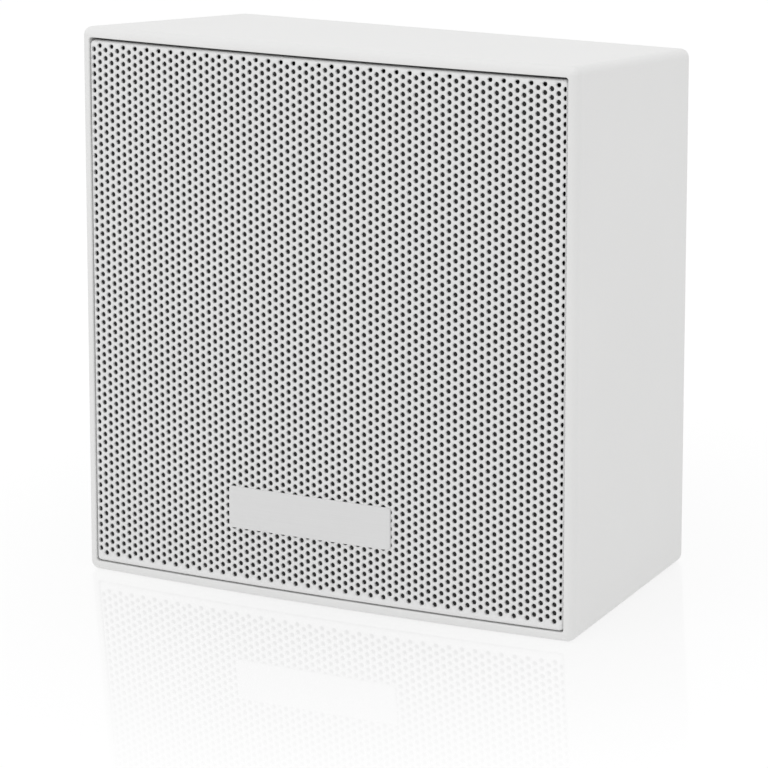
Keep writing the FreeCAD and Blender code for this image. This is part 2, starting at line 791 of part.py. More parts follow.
def six_sided(centre, radius):
    """Regular six-sided face across the depth."""
    angles = [math.pi / 3 * n for n in range(7)]
    corners = [FreeCAD.Vector(math.cos(a), 0, math.sin(a)) * radius + centre for a in angles]
    return Part.Face(Part.makePolygon(corners))


def grille():
    """Steel sheet with four folded edges and its field of holes."""
    body = DOC.addObject("PartDesign::Body", "grille_shell")
    loop = rounded("0", GRILLE_MIDDLE, GRILLE_X, GRILLE_Z, "grille_corner")
    sheet = pad(body, [loop], "grille_recess", SEAT)
    round_edges(body, sheet, at_level("grille_recess"), "grille_bend")
    half_x = f"({GRILLE_X} - grille_sheet)"
    half_z = f"({GRILLE_Z} - grille_sheet)"
    inner = rounded("0", GRILLE_MIDDLE, half_x, half_z, "(grille_corner - grille_sheet)")
    inside = "(grille_recess + grille_sheet)"
    tray = pocket(body, [inner], inside, SEAT)
    round_edges(body, tray, at_level(inside), "(grille_bend - grille_sheet)")
    cut = DOC.addObject("Part::Cut", "grille")
    cut.Label = "grille"
    cut.Base = body
    cut.Tool = grille_holes()
    DOC.recompute()
    PARTS.append(cut)


def grille_cloth():
    """Black cloth glued to the inside of the grille's face."""
    body = new_body("grille_cloth")
    half_x = f"({GRILLE_X} - grille_sheet - cloth_inset)"
    half_z = f"({GRILLE_Z} - grille_sheet - cloth_inset)"
    inside = "(grille_recess + grille_sheet)"
    pad(body, [block("0", GRILLE_MIDDLE, half_x, half_z)], inside, f"({inside} + cloth_thickness)")


def badge():
    """Bare plate glued to the grille's face, low and a little left of the middle."""
    body = new_body("badge")
    loop = rounded("badge_shift", "badge_rise", "(badge_width / 2)", "(badge_height / 2)", "badge_corner")
    face = "(grille_recess - badge_thickness)"
    plate = pad(body, [loop], face, "grille_recess")
    round_edges(body, plate, at_level(face), "badge_edge")


# Woofer


def woofer_basket():
    """Pressed frame: flange, windowed slope, spider shelf and seat for the magnet."""
    body = new_body("woofer_basket")
    outward = "basket_sheet"
    bottom = f"({WOOFER_SEAT} + basket_depth)"
    path = [
        ("basket_mouth", FLANGE_FACE),
        ("woofer_flange_radius", FLANGE_FACE),
        ("woofer_flange_radius", WOOFER_SEAT),
        (f"(basket_mouth + {outward})", WOOFER_SEAT),
        (f"(basket_waist + {outward})", SHELF_BACK),
        (f"(basket_shelf + {outward})", SHELF_BACK),
        (f"(basket_neck + {outward})", PLATE_FACE),
        ("basket_hole", PLATE_FACE),
        ("basket_hole", bottom),
        ("basket_neck", bottom),
        ("basket_shelf", SHELF_FACE),
        ("basket_waist", SHELF_FACE),
        ("basket_mouth", WOOFER_SEAT),
    ]
    turn(body, path, WOOFER_Z)
    low = "(basket_waist + basket_sheet + window_margin)"
    high = "(basket_mouth - window_margin)"
    windows = [window_outline(low, high, 60 * n) for n in range(6)]
    pocket(body, windows, WOOFER_SEAT, SHELF_BACK)
    pocket(body, discs(WOOFER_SCREWS, "(woofer_screw_radius + screw_fit)"), FLANGE_FACE, WOOFER_SEAT)


def window_outline(low, high, middle_angle):
    """Sector between two radii about the woofer's axis."""
    start = f"({middle_angle} - window_angle / 2)"
    end = f"({middle_angle} + window_angle / 2)"

    def corner(radius, angle):
        return f"({radius} * cos({angle}))", f"({WOOFER_Z} + {radius} * sin({angle}))"

    return [
        corner(high, start),
        corner(high, end) + ("0", WOOFER_Z, "left"),
        corner(low, end),
        corner(low, start) + ("0", WOOFER_Z, "right"),
    ]


def woofer_surround():
    """Rubber half roll between two flat lips."""
    inner = "roll_radius"
    outer = "(roll_radius + surround_sheet)"
    foot = f"sqrt({outer} ^ 2 - surround_sheet ^ 2)"
    face = f"({FLANGE_FACE} - surround_sheet)"
    near = f"({CONE_BEND})"
    far = "(roll_middle + roll_radius + surround_lip)"
    path = [
        (near, FLANGE_FACE),
        (near, face),
        (f"(roll_middle - {foot})", face),
        (f"(roll_middle + {foot})", face, "roll_middle", FLANGE_FACE, "left"),
        (far, face),
        (far, FLANGE_FACE),
        (f"(roll_middle + {inner})", FLANGE_FACE),
        (f"(roll_middle - {inner})", FLANGE_FACE, "roll_middle", FLANGE_FACE, "right"),
    ]
    turned("woofer_surround", path, WOOFER_Z)


def woofer_gasket():
    """Ring glued over the surround's outer lip."""
    inner = "(roll_middle + roll_radius + surround_sheet + gasket_gap)"
    back = f"({FLANGE_FACE} - surround_sheet)"
    path = band(inner, f"({inner} + gasket_width)", f"({back} - gasket_thickness)", back)
    turned("woofer_gasket", path, WOOFER_Z)


def woofer_cone():
    """Paper cone with a flat land at its edge."""
    path = [
        (FORMER_SKIN, CONE_NECK),
        (CONE_BEND, FLANGE_FACE),
        (CONE_EDGE, FLANGE_FACE),
        (CONE_EDGE, f"({FLANGE_FACE} + cone_sheet)"),
        (CONE_BEND, f"({FLANGE_FACE} + cone_sheet)"),
        (FORMER_SKIN, f"({CONE_NECK} + cone_sheet)"),
    ]
    turned("woofer_cone", path, WOOFER_Z)


def woofer_dust_cap():
    """Shallow dome that stands on the cone over the coil."""
    slope = f"(({CONE_NECK} - {FLANGE_FACE}) / ({CONE_BEND} - {FORMER_SKIN}))"
    foot = f"({CONE_NECK} - (cap_radius - {FORMER_SKIN}) * {slope})"
    crest = f"({foot} - cap_rise)"
    ball = "((cap_radius ^ 2 + cap_rise ^ 2) / (2 * cap_rise))"
    centre = f"({crest} + {ball})"
    inner_foot = f"sqrt(({ball} - cap_sheet) ^ 2 - ({centre} - {foot}) ^ 2)"
    path = [
        (inner_foot, foot),
        ("0", f"({crest} + cap_sheet)", "0", centre, "right"),
        ("0", crest),
        ("cap_radius", foot, "0", centre, "left"),
    ]
    turned("woofer_dust_cap", path, WOOFER_Z)


def woofer_spider():
    """Corrugated cloth disc that centres the coil former."""
    inner = f"({FORMER_SKIN} + spider_gap)"
    lip = "basket_shelf"
    folds = 8
    rest = f"({SHELF_FACE} - spider_sheet)"
    front = [(f"({lip} + spider_lip)", rest), (lip, rest)]
    for n in range(1, folds):
        sign = 1 if n % 2 else -1
        front.append((f"({lip} + ({inner} - {lip}) * {n} / {folds})", f"({rest} + {sign} * spider_wave)"))
    front.append((inner, rest))
    back = [(radius, f"({depth} + spider_sheet)") for radius, depth in reversed(front)]
    turned("woofer_spider", front + back, WOOFER_Z)


def voice_coil():
    """Thin former with a winding that hangs in the magnet's gap."""
    winding_start = f"({WINDING_MIDDLE} - winding_length / 2)"
    winding_end = f"({WINDING_MIDDLE} + winding_length / 2)"
    former = band(FORMER_BORE, FORMER_SKIN, CONE_NECK, f"({winding_end} + former_tail)")
    turned("voice_coil_former", former, WOOFER_Z)
    turned("voice_coil_winding", band(FORMER_SKIN, WINDING_SKIN, winding_start, winding_end), WOOFER_Z)


def woofer_motor():
    """Top plate, ring magnet, and yoke with a vented pole."""
    turned("woofer_top_plate", band(PLATE_BORE, "top_plate_radius", PLATE_FACE, MAGNET_FACE), WOOFER_Z)
    turned("woofer_magnet", band("magnet_bore", "magnet_radius", MAGNET_FACE, YOKE_FACE), WOOFER_Z)
    yoke = [
        ("pole_vent", PLATE_FACE),
        ("pole_radius", PLATE_FACE),
        ("pole_radius", YOKE_FACE),
        ("yoke_radius", YOKE_FACE),
        ("yoke_radius", YOKE_BACK),
        ("pole_vent", YOKE_BACK),
    ]
    turned("woofer_yoke", yoke, WOOFER_Z)


def woofer_tags():
    """Tag strip riveted behind the spider shelf, with two brass tags that point up."""
    strip = new_body("woofer_tag_strip")
    low = f"({WOOFER_Z} + basket_shelf + basket_sheet + driver_fit)"
    middle = f"({low} + strip_height / 2)"
    strip_back = f"({SHELF_BACK} + strip_thickness)"
    pad(strip, [block("0", middle, "(strip_width / 2)", "(strip_height / 2)")], SHELF_BACK, strip_back)
    tags = new_body("woofer_tags")
    half = "(tag_length / 2)"
    loops = [block(across, WOOFER_TAG_MIDDLE, "(tag_width / 2)", half) for across in TAGS]
    pad(tags, loops, strip_back, f"({strip_back} + tag_thickness)")


WOOFER_STRIP_TOP = f"({WOOFER_Z} + basket_shelf + basket_sheet + driver_fit + strip_height)"
WOOFER_TAG_MIDDLE = WOOFER_STRIP_TOP
WOOFER_TAG_END = f"({WOOFER_TAG_MIDDLE} + tag_length / 2)"
WOOFER_TAG_DEPTH = f"({SHELF_BACK} + strip_thickness + tag_thickness / 2)"


# Tweeter


def tweeter_faceplate():
    """Round plate with a short conical horn."""
    body = new_body("tweeter_faceplate")
    path = [
        ("tweeter_horn_mouth", BAFFLE_FACE),
        ("tweeter_plate_radius", BAFFLE_FACE),
        ("tweeter_plate_radius", TWEETER_SEAT),
        ("tweeter_horn_throat", TWEETER_SEAT),
    ]
    turn(body, path, TWEETER_Z)
    hole = discs(TWEETER_SCREWS, "(tweeter_screw_radius + screw_fit)")
    pocket(body, hole, BAFFLE_FACE, TWEETER_SEAT)


def tweeter_dome():
    """Silk dome with its half roll, clamped lip and coil in one piece."""
    crest = f"({TWEETER_SEAT} - dome_rise)"
    ball = "((dome_radius ^ 2 + dome_rise ^ 2) / (2 * dome_rise))"
    centre = f"({crest} + {ball})"
    inner_foot = f"sqrt(({ball} - dome_sheet) ^ 2 - ({centre} - {DOME_BACK}) ^ 2)"
    roll = "(dome_radius + dome_roll)"
    back_foot = "sqrt(dome_roll ^ 2 - dome_sheet ^ 2)"
    coil_end = f"({DOME_BACK} + dome_coil_length)"
    path = [
        ("0", crest),
        ("dome_radius", TWEETER_SEAT, "0", centre, "left"),
        (f"({roll} + dome_roll)", TWEETER_SEAT, roll, TWEETER_SEAT, "left"),
        ("dome_lip", TWEETER_SEAT),
        ("dome_lip", DOME_BACK),
        ("dome_radius", DOME_BACK),
        ("dome_radius", coil_end),
        ("(dome_radius - dome_sheet)", coil_end),
        ("(dome_radius - dome_sheet)", DOME_BACK),
        (inner_foot, DOME_BACK),
        ("0", f"({crest} + dome_sheet)", "0", centre, "right"),
    ]
    turned("tweeter_dome", path, TWEETER_Z)


def tweeter_motor():
    """Top plate, ring magnet and yoke of the tweeter."""
    bore = "(dome_radius + dome_coil_gap)"
    pole = "(dome_radius - dome_sheet - dome_coil_gap)"
    outer = "tweeter_magnet_radius"
    turned("tweeter_top_plate", band(bore, outer, DOME_BACK, TWEETER_MAGNET_FACE), TWEETER_Z)
    magnet = band("tweeter_magnet_bore", outer, TWEETER_MAGNET_FACE, TWEETER_YOKE_FACE)
    turned("tweeter_magnet", magnet, TWEETER_Z)
    yoke = [
        ("0", DOME_BACK),
        (pole, DOME_BACK),
        (pole, TWEETER_YOKE_FACE),
        (outer, TWEETER_YOKE_FACE),
        (outer, TWEETER_BACK),
        ("0", TWEETER_BACK),
    ]
    turned("tweeter_yoke", yoke, TWEETER_Z)


def tweeter_tags():
    """Tag strip on the tweeter's back, with two brass pins that point backwards."""
    strip = new_body("tweeter_tag_strip")
    middle = f"({TWEETER_Z} - pin_drop)"
    strip_back = f"({TWEETER_BACK} + strip_thickness)"
    plate = block("0", middle, "(strip_width / 2)", "(strip_height / 4)")
    pad(strip, [plate], TWEETER_BACK, strip_back)
    pins = new_body("tweeter_pins")
    pad(pins, discs([(across, middle) for across in TAGS], "pin_radius"), strip_back, TWEETER_PIN_END)


TWEETER_PIN_END = f"({TWEETER_BACK} + strip_thickness + pin_length)"


# Port, crossover, terminals, wires and foam


def bass_port():
    """Flanged tube with a rounded mouth."""
    face = f"({BAFFLE_FACE} - port_flange)"
    mouth = "(port_radius + port_flare)"
    flare_end = f"({face} + port_flare)"
    end = f"({BAFFLE_FACE} + port_length)"
    path = [
        ("port_flange_radius", face),
        ("port_flange_radius", BAFFLE_FACE),
        ("(port_radius + port_wall)", BAFFLE_FACE),
        ("(port_radius + port_wall)", end),
        ("port_radius", end),
        ("port_radius", flare_end),
        (mouth, face, mouth, flare_end, "left"),
    ]
    turned("bass_port", path, TWEETER_Z, "port_across")


def crossover():
    """Circuit board on the standoffs with its coils, capacitors and resistor."""
    board = new_body("crossover_board")
    plate = block("0", BOARD_Z, "(board_width / 2)", "(board_height / 2)")
    pad(board, [plate] + discs(BOARD_SCREWS, "(board_screw_radius + screw_fit)"), BOARD_FACE, BOARD_BACK)
    sides = [times(x, "coil_across") for x in (-1, 1)]
    coils = new_body("crossover_inductors")
    places = [(across, f"({BOARD_Z} + inductor_rise)") for across in sides]
    rings = discs(places, "inductor_radius") + discs(places, "inductor_bore")
    pad(coils, rings, f"({BOARD_FACE} - inductor_height)", BOARD_FACE)
    cans = new_body("crossover_capacitors")
    section = (f"({BOARD_FACE} - capacitor_radius)", f"({BOARD_Z} - capacitor_drop)", "capacitor_radius")
    for across in sides:
        start = f"({across} - capacitor_length / 2)"
        pad(cans, [section], start, f"({across} + capacitor_length / 2)", axis="X")
    resistor = new_body("crossover_resistor")
    half = "(resistor_side / 2)"
    brick = block("coil_across", f"({BOARD_Z} - resistor_drop)", "(resistor_length / 2)", half)
    pad(resistor, [brick], f"({BOARD_FACE} - resistor_side)", BOARD_FACE)


def terminal_cup():
    """Moulded recess for the terminals, with a flange that lies flush in the back wall."""
    body = new_body("terminal_cup")
    flange_face = f"({BACK} - cup_flange)"
    half_x = "(cup_flange_width / 2)"
    half_z = "(cup_flange_height / 2)"
    pad(body, [rounded("0", CUP_Z, half_x, half_z, "cup_flange_corner")], flange_face, BACK)
    mouth = ("(cup_mouth_width / 2)", "(cup_mouth_height / 2)")
    floor = tuple(f"({half} - cup_draft)" for half in mouth)
    inner_mouth = tuple(f"({half} - cup_wall)" for half in mouth)
    inner_floor = tuple(f"({half} - cup_wall)" for half in floor)
    taper(body, "Additive", CUP_Z, f"({BACK} - cup_depth)", floor, flange_face, mouth)
    taper(body, "Subtractive", CUP_Z, CUP_FLOOR, inner_floor, BACK, inner_mouth)
    pocket(body, discs(CUP_SCREWS, "(cup_screw_radius + screw_fit)"), flange_face, BACK)
    sink = discs(CUP_SCREWS, "(cup_screw_head_radius + screw_fit)")
    pocket(body, sink, f"({BACK} - cup_screw_sink)", BACK)
    slots = discs([(across, CUP_Z) for across in TERMINALS], "(pin_radius + screw_fit)")
    pocket(body, slots, f"({BACK} - cup_depth)", CUP_FLOOR)


def terminal_seal():
    """Foam ring under the cup's flange."""
    body = new_body("terminal_seal")
    half_x = "(cup_flange_width / 2)"
    half_z = "(cup_flange_height / 2)"
    outer = rounded("0", CUP_Z, half_x, half_z, "cup_flange_corner")
    inner = block("0", CUP_Z, "(cup_mouth_width / 2 + cup_fit)", "(cup_mouth_height / 2 + cup_fit)")
    holes = discs(CUP_SCREWS, "(cup_screw_radius + screw_fit)")
    back = f"({BACK} - cup_flange)"
    pad(body, [outer, inner] + holes, f"({back} - cup_seal)", back)


def terminal_block():
    """Two-way screw clamp: clamp screws face backwards, wires enter from below."""
    body = new_body("terminal_block")
    back = f"({CUP_FLOOR} + terminal_depth)"
    half_z = "(terminal_height / 2)"
    pad(body, [block("0", CUP_Z, "(terminal_width / 2)", half_z)], CUP_FLOOR, back)
    places = [(across, CUP_Z) for across in TERMINALS]
    well_floor = f"({back} - terminal_well_depth)"
    pocket(body, discs(places, "terminal_well"), well_floor, back)
    half = "(terminal_entry / 2)"
    level = f"({CUP_FLOOR} + terminal_entry_level + {half})"
    entries = [block(across, level, half, half) for across in TERMINALS]
    bottom = f"({CUP_Z} - {half_z})"
    pocket(body, entries, bottom, f"({bottom} + terminal_entry_depth)", axis="Z")
    clamps = new_body("terminal_clamp_screws")
    clamp_back = f"({well_floor} + clamp_height)"
    pad(clamps, discs(places, "clamp_radius"), well_floor, clamp_back)
    cuts = [block(across, CUP_Z, "clamp_radius", "(clamp_slot / 2)") for across in TERMINALS]
    pocket(clamps, cuts, f"({clamp_back} - clamp_slot_depth)", clamp_back)
    pins = new_body("terminal_pins")
    pad(pins, discs(places, "pin_radius"), TERMINAL_PIN_END, CUP_FLOOR)


TERMINAL_PIN_END = f"({BACK} - cup_depth - pin_length)"


def wires():
    """Three pairs of wires that all end on the crossover board."""
    depth = f"({TERMINAL_PIN_END} - wire_lead)"
    low = f"({BOARD_Z} - input_wire_drop)"
    wire_pair("input_wires", "terminal_pitch", [
        (TERMINAL_PIN_END, CUP_Z),
        (depth, CUP_Z),
        (depth, low),
        (BOARD_FACE, low),
    ])
    lift = f"({WOOFER_TAG_END} + wire_lead)"
    wire_pair("woofer_wires", "tag_spread", [
        (WOOFER_TAG_DEPTH, WOOFER_TAG_END),
        (WOOFER_TAG_DEPTH, lift),
        (BOARD_FACE, lift),
    ])
    pins = f"({TWEETER_Z} - pin_drop)"
    high = f"({BOARD_Z} + tweeter_wire_rise)"
    wire_pair("tweeter_wires", "tag_spread", [
        (TWEETER_PIN_END, pins),
        (f"({TWEETER_PIN_END} + wire_lead)", pins),
        (f"({BOARD_FACE} - wire_lead)", high),
        (BOARD_FACE, high),
    ])


def damping_foam():
    """Four foam sheets on the drafted side walls, above and below the middle bosses."""
    body = new_body("damping_foam")
    end = "(foam_start + foam_length)"
    near = wall_half("foam_start")[0]
    far = wall_half(end)[0]
    loops = []
    for sign in (-1, 1):
        loops.append([
            (times(sign, f"({near} - foam_fit)"), "foam_start"),
            (times(sign, f"({far} - foam_fit)"), end),
            (times(sign, f"({far} - foam_fit - foam_thickness)"), end),
            (times(sign, f"({near} - foam_fit - foam_thickness)"), "foam_start"),
        ])
    for start in (f"({MIDDLE} + foam_gap)", f"({MIDDLE} - foam_gap - foam_height)"):
        pad(body, loops, start, f"({start} + foam_height)", axis="Z")


def all_screws():
    """The four sets of like screws."""
    screws(
        "baffle_screws", baffle_screw_places(), BAFFLE_FACE, 1,
        "screw_head", "screw_head_radius", "screw_length", "screw_radius",
    )
    screws(
        "woofer_screws", WOOFER_SCREWS, FLANGE_FACE, 1,
        "screw_head", "woofer_screw_head_radius", "woofer_screw_length", "woofer_screw_radius",
    )
    screws(
        "tweeter_screws", TWEETER_SCREWS, BAFFLE_FACE, 1,
        "tweeter_screw_head", "tweeter_screw_head_radius", "tweeter_screw_length", "tweeter_screw_radius",
    )
    screws(
        "board_screws", BOARD_SCREWS, BOARD_FACE, 1,
        "board_screw_head", "board_screw_head_radius", "board_screw_length", "board_screw_radius",
    )
    screws(
        "terminal_screws", CUP_SCREWS, f"({BACK} - cup_screw_sink)", -1,
        "cup_screw_head", "cup_screw_head_radius", "cup_screw_length", "cup_screw_radius",
    )


def stand_up(part):
    """Stands a sub-part on the cabinet's bottom wall, with the origin under the middle of the whole."""
    lean = "atan(side_draft / cabinet_depth)"
    reach = f"(cabinet_depth * cos({lean}) + (cabinet_height - side_draft) * sin({lean}))"
    part.Placement = FreeCAD.Placement(
        FreeCAD.Vector(0, 0, 0), FreeCAD.Rotation(FreeCAD.Vector(1, 0, 0), -1)
    )
    part.setExpression("Placement.Rotation.Angle", bound(f"-{lean}"))
    part.setExpression("Placement.Base.y", bound(f"-{reach} / 2"))


def check():
    """Stops if any object failed or any sub-part has no sound shape."""
    for item in DOC.Objects:
        if "Invalid" in item.State or "Error" in item.State:
            raise ValueError(f"{item.Label} failed: {item.State}")
    for part in PARTS:
        if part.Shape.isNull() or not part.Shape.isValid():
            raise ValueError(f"{part.Label} has no valid shape")


def main():
    """Builds every sub-part, stands the whole on its base and writes one file each."""
    fill_sheet()
    cabinet()
    baffle()
    baffle_seal()
    grille()
    grille_cloth()
    badge()
    woofer_basket()
    woofer_surround()
    woofer_gasket()
    woofer_cone()
    woofer_dust_cap()
    woofer_spider()
    voice_coil()
    woofer_motor()
    woofer_tags()
    tweeter_faceplate()
    tweeter_dome()
    tweeter_motor()
    tweeter_tags()
    bass_port()
    crossover()
    terminal_cup()
    terminal_seal()
    terminal_block()
    wires()
    damping_foam()
    all_screws()
    for part in PARTS:
        stand_up(part)
    DOC.recompute()
    check()
    os.makedirs("parts", exist_ok=True)
    for part in PARTS:
        part.Shape.exportStep(f"parts/{part.Label}.step")


main()
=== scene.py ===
"""Looks of the garden speaker: a finish for every solid, its bowed front, the fine perforation of
the folded grille, cross-recess screws, a pale studio and the camera of the photograph. Lengths are
in metres."""

import json
import math

import bmesh
import bpy
import numpy as np
from mathutils import Matrix
from mathutils.geometry import delaunay_2d_cdt


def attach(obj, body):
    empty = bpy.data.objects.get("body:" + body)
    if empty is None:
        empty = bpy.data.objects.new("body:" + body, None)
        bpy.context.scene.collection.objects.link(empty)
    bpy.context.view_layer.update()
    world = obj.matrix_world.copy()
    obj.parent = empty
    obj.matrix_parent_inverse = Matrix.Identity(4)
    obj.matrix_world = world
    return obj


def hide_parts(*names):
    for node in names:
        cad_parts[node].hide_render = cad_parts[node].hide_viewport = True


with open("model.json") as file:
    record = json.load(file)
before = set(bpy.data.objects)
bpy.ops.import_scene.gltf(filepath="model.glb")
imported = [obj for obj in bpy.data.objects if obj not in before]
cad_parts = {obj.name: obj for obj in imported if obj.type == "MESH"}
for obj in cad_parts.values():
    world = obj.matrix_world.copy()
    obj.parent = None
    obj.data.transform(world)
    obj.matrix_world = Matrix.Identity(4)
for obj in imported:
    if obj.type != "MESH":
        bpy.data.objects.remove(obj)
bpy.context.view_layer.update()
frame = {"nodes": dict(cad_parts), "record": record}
NODES = frame["nodes"]
MOUNTS = {mount["name"]: mount for mount in frame["record"]["mounts"]}
MM = 0.001
NEARLY_NOTHING = 1e-12


# Places along the speaker's own directions: right, back from the front plane, up the front


def mesh_points(mesh):
    """Vertices of a mesh as an array of points."""
    points = np.empty(len(mesh.vertices) * 3, np.float32)
    mesh.vertices.foreach_get("co", points)
    return points.reshape(-1, 3).astype(float)


BACKWARDS = np.array(MOUNTS["wall_face"]["axis"], float)
BACKWARDS = BACKWARDS / np.linalg.norm(BACKWARDS)
RIGHT = np.array([1.0, 0.0, 0.0])
UPWARDS = np.cross(RIGHT, BACKWARDS)
OWN_AXES = np.stack([RIGHT, BACKWARDS, UPWARDS])
FRONT_LEVEL = (mesh_points(NODES["cabinet"].data) @ BACKWARDS).min()
FRONT_FOOT = np.array([0.0, FRONT_LEVEL / BACKWARDS[1], 0.0])


def placed(points):
    """Places in the frame of points given along the speaker's own directions."""
    return FRONT_FOOT + points @ OWN_AXES


def own_points(mesh):
    """Vertices of a mesh along the speaker's own directions."""
    return (mesh_points(mesh) - FRONT_FOOT) @ OWN_AXES.T


def own_box(name):
    """Lowest and highest corner of a CAD node along the speaker's own directions."""
    points = own_points(NODES[name].data)
    return points.min(0), points.max(0)


# Meshes


def standing_for(node, mesh):
    """A piece of the enclosure that shows a mesh in the place of a CAD node, in that node's finish."""
    mesh.materials.append(FINISHES[node])
    piece = bpy.data.objects.new(mesh.name, mesh)
    bpy.context.scene.collection.objects.link(piece)
    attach(piece, "enclosure")
    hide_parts(node)
    return piece


def new_piece(name, points, triangles, rounded, node):
    """A piece from arrays of points and triangles, in the place of a CAD node; rounded says which
    triangles shade smoothly."""
    mesh = bpy.data.meshes.new(name)
    mesh.vertices.add(len(points))
    mesh.vertices.foreach_set("co", points.astype(np.float32).ravel())
    mesh.loops.add(triangles.size)
    mesh.loops.foreach_set("vertex_index", triangles.astype(np.int32).ravel())
    mesh.polygons.add(len(triangles))
    mesh.polygons.foreach_set("loop_start", np.arange(0, triangles.size, 3, dtype=np.int32))
    mesh.polygons.foreach_set("use_smooth", rounded)
    mesh.update(calc_edges=True)
    standing_for(node, mesh)


# Node building


def put(nodes, kind, **settings):
    """A new shader node with its properties set."""
    node = nodes.new(kind)
    for key, setting in settings.items():
        setattr(node, key, setting)
    return node


def new_group(name, inputs, outputs):
    """An empty node group with named sockets, its entry node and its exit node."""
    group = bpy.data.node_groups.new(name, "ShaderNodeTree")
    for label, kind, default in inputs:
        socket = group.interface.new_socket(name=label, in_out="INPUT", socket_type=kind)
        if default is not None:
            socket.default_value = default
    for label, kind in outputs:
        group.interface.new_socket(name=label, in_out="OUTPUT", socket_type=kind)
    entry = put(group.nodes, "NodeGroupInput")
    leave = put(group.nodes, "NodeGroupOutput")
    return group, entry, leave


def blended(group, first, second, share):
    """Sum of two values in the given shares, as a math node."""
    scaled = put(group.nodes, "ShaderNodeMath", operation="MULTIPLY")
    scaled.inputs[1].default_value = 1.0 - share
    group.links.new(second, scaled.inputs[0])
    total = put(group.nodes, "ShaderNodeMath", operation="MULTIPLY_ADD")
    total.inputs[1].default_value = share
    group.links.new(first, total.inputs[0])
    group.links.new(scaled.outputs[0], total.inputs[2])
    return total


# Patterns

PLACE_INPUT = ("Place", "NodeSocketVector", None)
TONE_AND_HEIGHT = [("Tone", "NodeSocketFloat"), ("Height", "NodeSocketFloat")]


def moulded_grain():
    """Fine even speckle over slow broad drifts, as on moulded plastic and powder coat."""
    inputs = [PLACE_INPUT, ("Fineness", "NodeSocketFloat", 900.0)]
    group, entry, leave = new_group("moulded_grain", inputs, TONE_AND_HEIGHT)
    fine = put(group.nodes, "ShaderNodeTexNoise")
    fine.inputs["Detail"].default_value = 2.0
    broad = put(group.nodes, "ShaderNodeTexNoise")
    broad.inputs["Scale"].default_value = 14.0
    broad.inputs["Detail"].default_value = 3.0
    group.links.new(entry.outputs["Place"], fine.inputs["Vector"])
    group.links.new(entry.outputs["Place"], broad.inputs["Vector"])
    group.links.new(entry.outputs["Fineness"], fine.inputs["Scale"])
    tone = blended(group, fine.outputs["Fac"], broad.outputs["Fac"], 0.4)
    group.links.new(tone.outputs[0], leave.inputs["Tone"])
    group.links.new(fine.outputs["Fac"], leave.inputs["Height"])
    return group


def brushed_lines():
    """Long thin lines across the piece, as on brushed or rolled metal."""
    inputs = [PLACE_INPUT, ("Fineness", "NodeSocketFloat", 2500.0)]
    group, entry, leave = new_group("brushed_lines", inputs, TONE_AND_HEIGHT)
    stretch = put(group.nodes, "ShaderNodeMapping")
    stretch.inputs["Scale"].default_value = (0.012, 1.0, 1.0)
    lines = put(group.nodes, "ShaderNodeTexNoise")
    lines.inputs["Detail"].default_value = 3.0
    clouds = put(group.nodes, "ShaderNodeTexNoise")
    clouds.inputs["Scale"].default_value = 60.0
    group.links.new(entry.outputs["Place"], stretch.inputs["Vector"])
    group.links.new(stretch.outputs["Vector"], lines.inputs["Vector"])
    group.links.new(entry.outputs["Fineness"], lines.inputs["Scale"])
    group.links.new(entry.outputs["Place"], clouds.inputs["Vector"])
    tone = blended(group, lines.outputs["Fac"], clouds.outputs["Fac"], 0.7)
    group.links.new(tone.outputs[0], leave.inputs["Tone"])
    group.links.new(lines.outputs["Fac"], leave.inputs["Height"])
    return group


def woven_threads():
    """Two crossed sets of round threads, with uneven yarn, as in open cloth."""
    inputs = [PLACE_INPUT, ("Fineness", "NodeSocketFloat", 900.0)]
    group, entry, leave = new_group("woven_threads", inputs, TONE_AND_HEIGHT)
    across = put(group.nodes, "ShaderNodeTexWave", bands_direction="X")
    along = put(group.nodes, "ShaderNodeTexWave", bands_direction="Z")
    yarn = put(group.nodes, "ShaderNodeTexNoise")
    yarn.inputs["Scale"].default_value = 400.0
    for wave in (across, along):
        group.links.new(entry.outputs["Place"], wave.inputs["Vector"])
        group.links.new(entry.outputs["Fineness"], wave.inputs["Scale"])
    group.links.new(entry.outputs["Place"], yarn.inputs["Vector"])
    higher = put(group.nodes, "ShaderNodeMath", operation="MAXIMUM")
    group.links.new(across.outputs["Fac"], higher.inputs[0])
    group.links.new(along.outputs["Fac"], higher.inputs[1])
    tone = blended(group, higher.outputs[0], yarn.outputs["Fac"], 0.6)
    group.links.new(tone.outputs[0], leave.inputs["Tone"])
    group.links.new(higher.outputs[0], leave.inputs["Height"])
    return group


def wound_turns():
    """Even ridges one after another along the winding, as on a coil of wire."""
    inputs = [PLACE_INPUT, ("Fineness", "NodeSocketFloat", 500.0)]
    group, entry, leave = new_group("wound_turns", inputs, TONE_AND_HEIGHT)
    ridges = put(group.nodes, "ShaderNodeTexWave", bands_direction="Y")
    ridges.inputs["Distortion"].default_value = 0.4
    enamel = put(group.nodes, "ShaderNodeTexNoise")
    enamel.inputs["Scale"].default_value = 150.0
    group.links.new(entry.outputs["Place"], ridges.inputs["Vector"])
    group.links.new(entry.outputs["Fineness"], ridges.inputs["Scale"])
    group.links.new(entry.outputs["Place"], enamel.inputs["Vector"])
    tone = blended(group, ridges.outputs["Fac"], enamel.outputs["Fac"], 0.6)
    group.links.new(tone.outputs[0], leave.inputs["Tone"])
    group.links.new(ridges.outputs["Fac"], leave.inputs["Height"])
    return group


GRAIN = moulded_grain()
BRUSHED = brushed_lines()
WOVEN = woven_threads()
WOUND = wound_turns()


# Finishes

LOW_TONE = 0.3
HIGH_TONE = 0.7


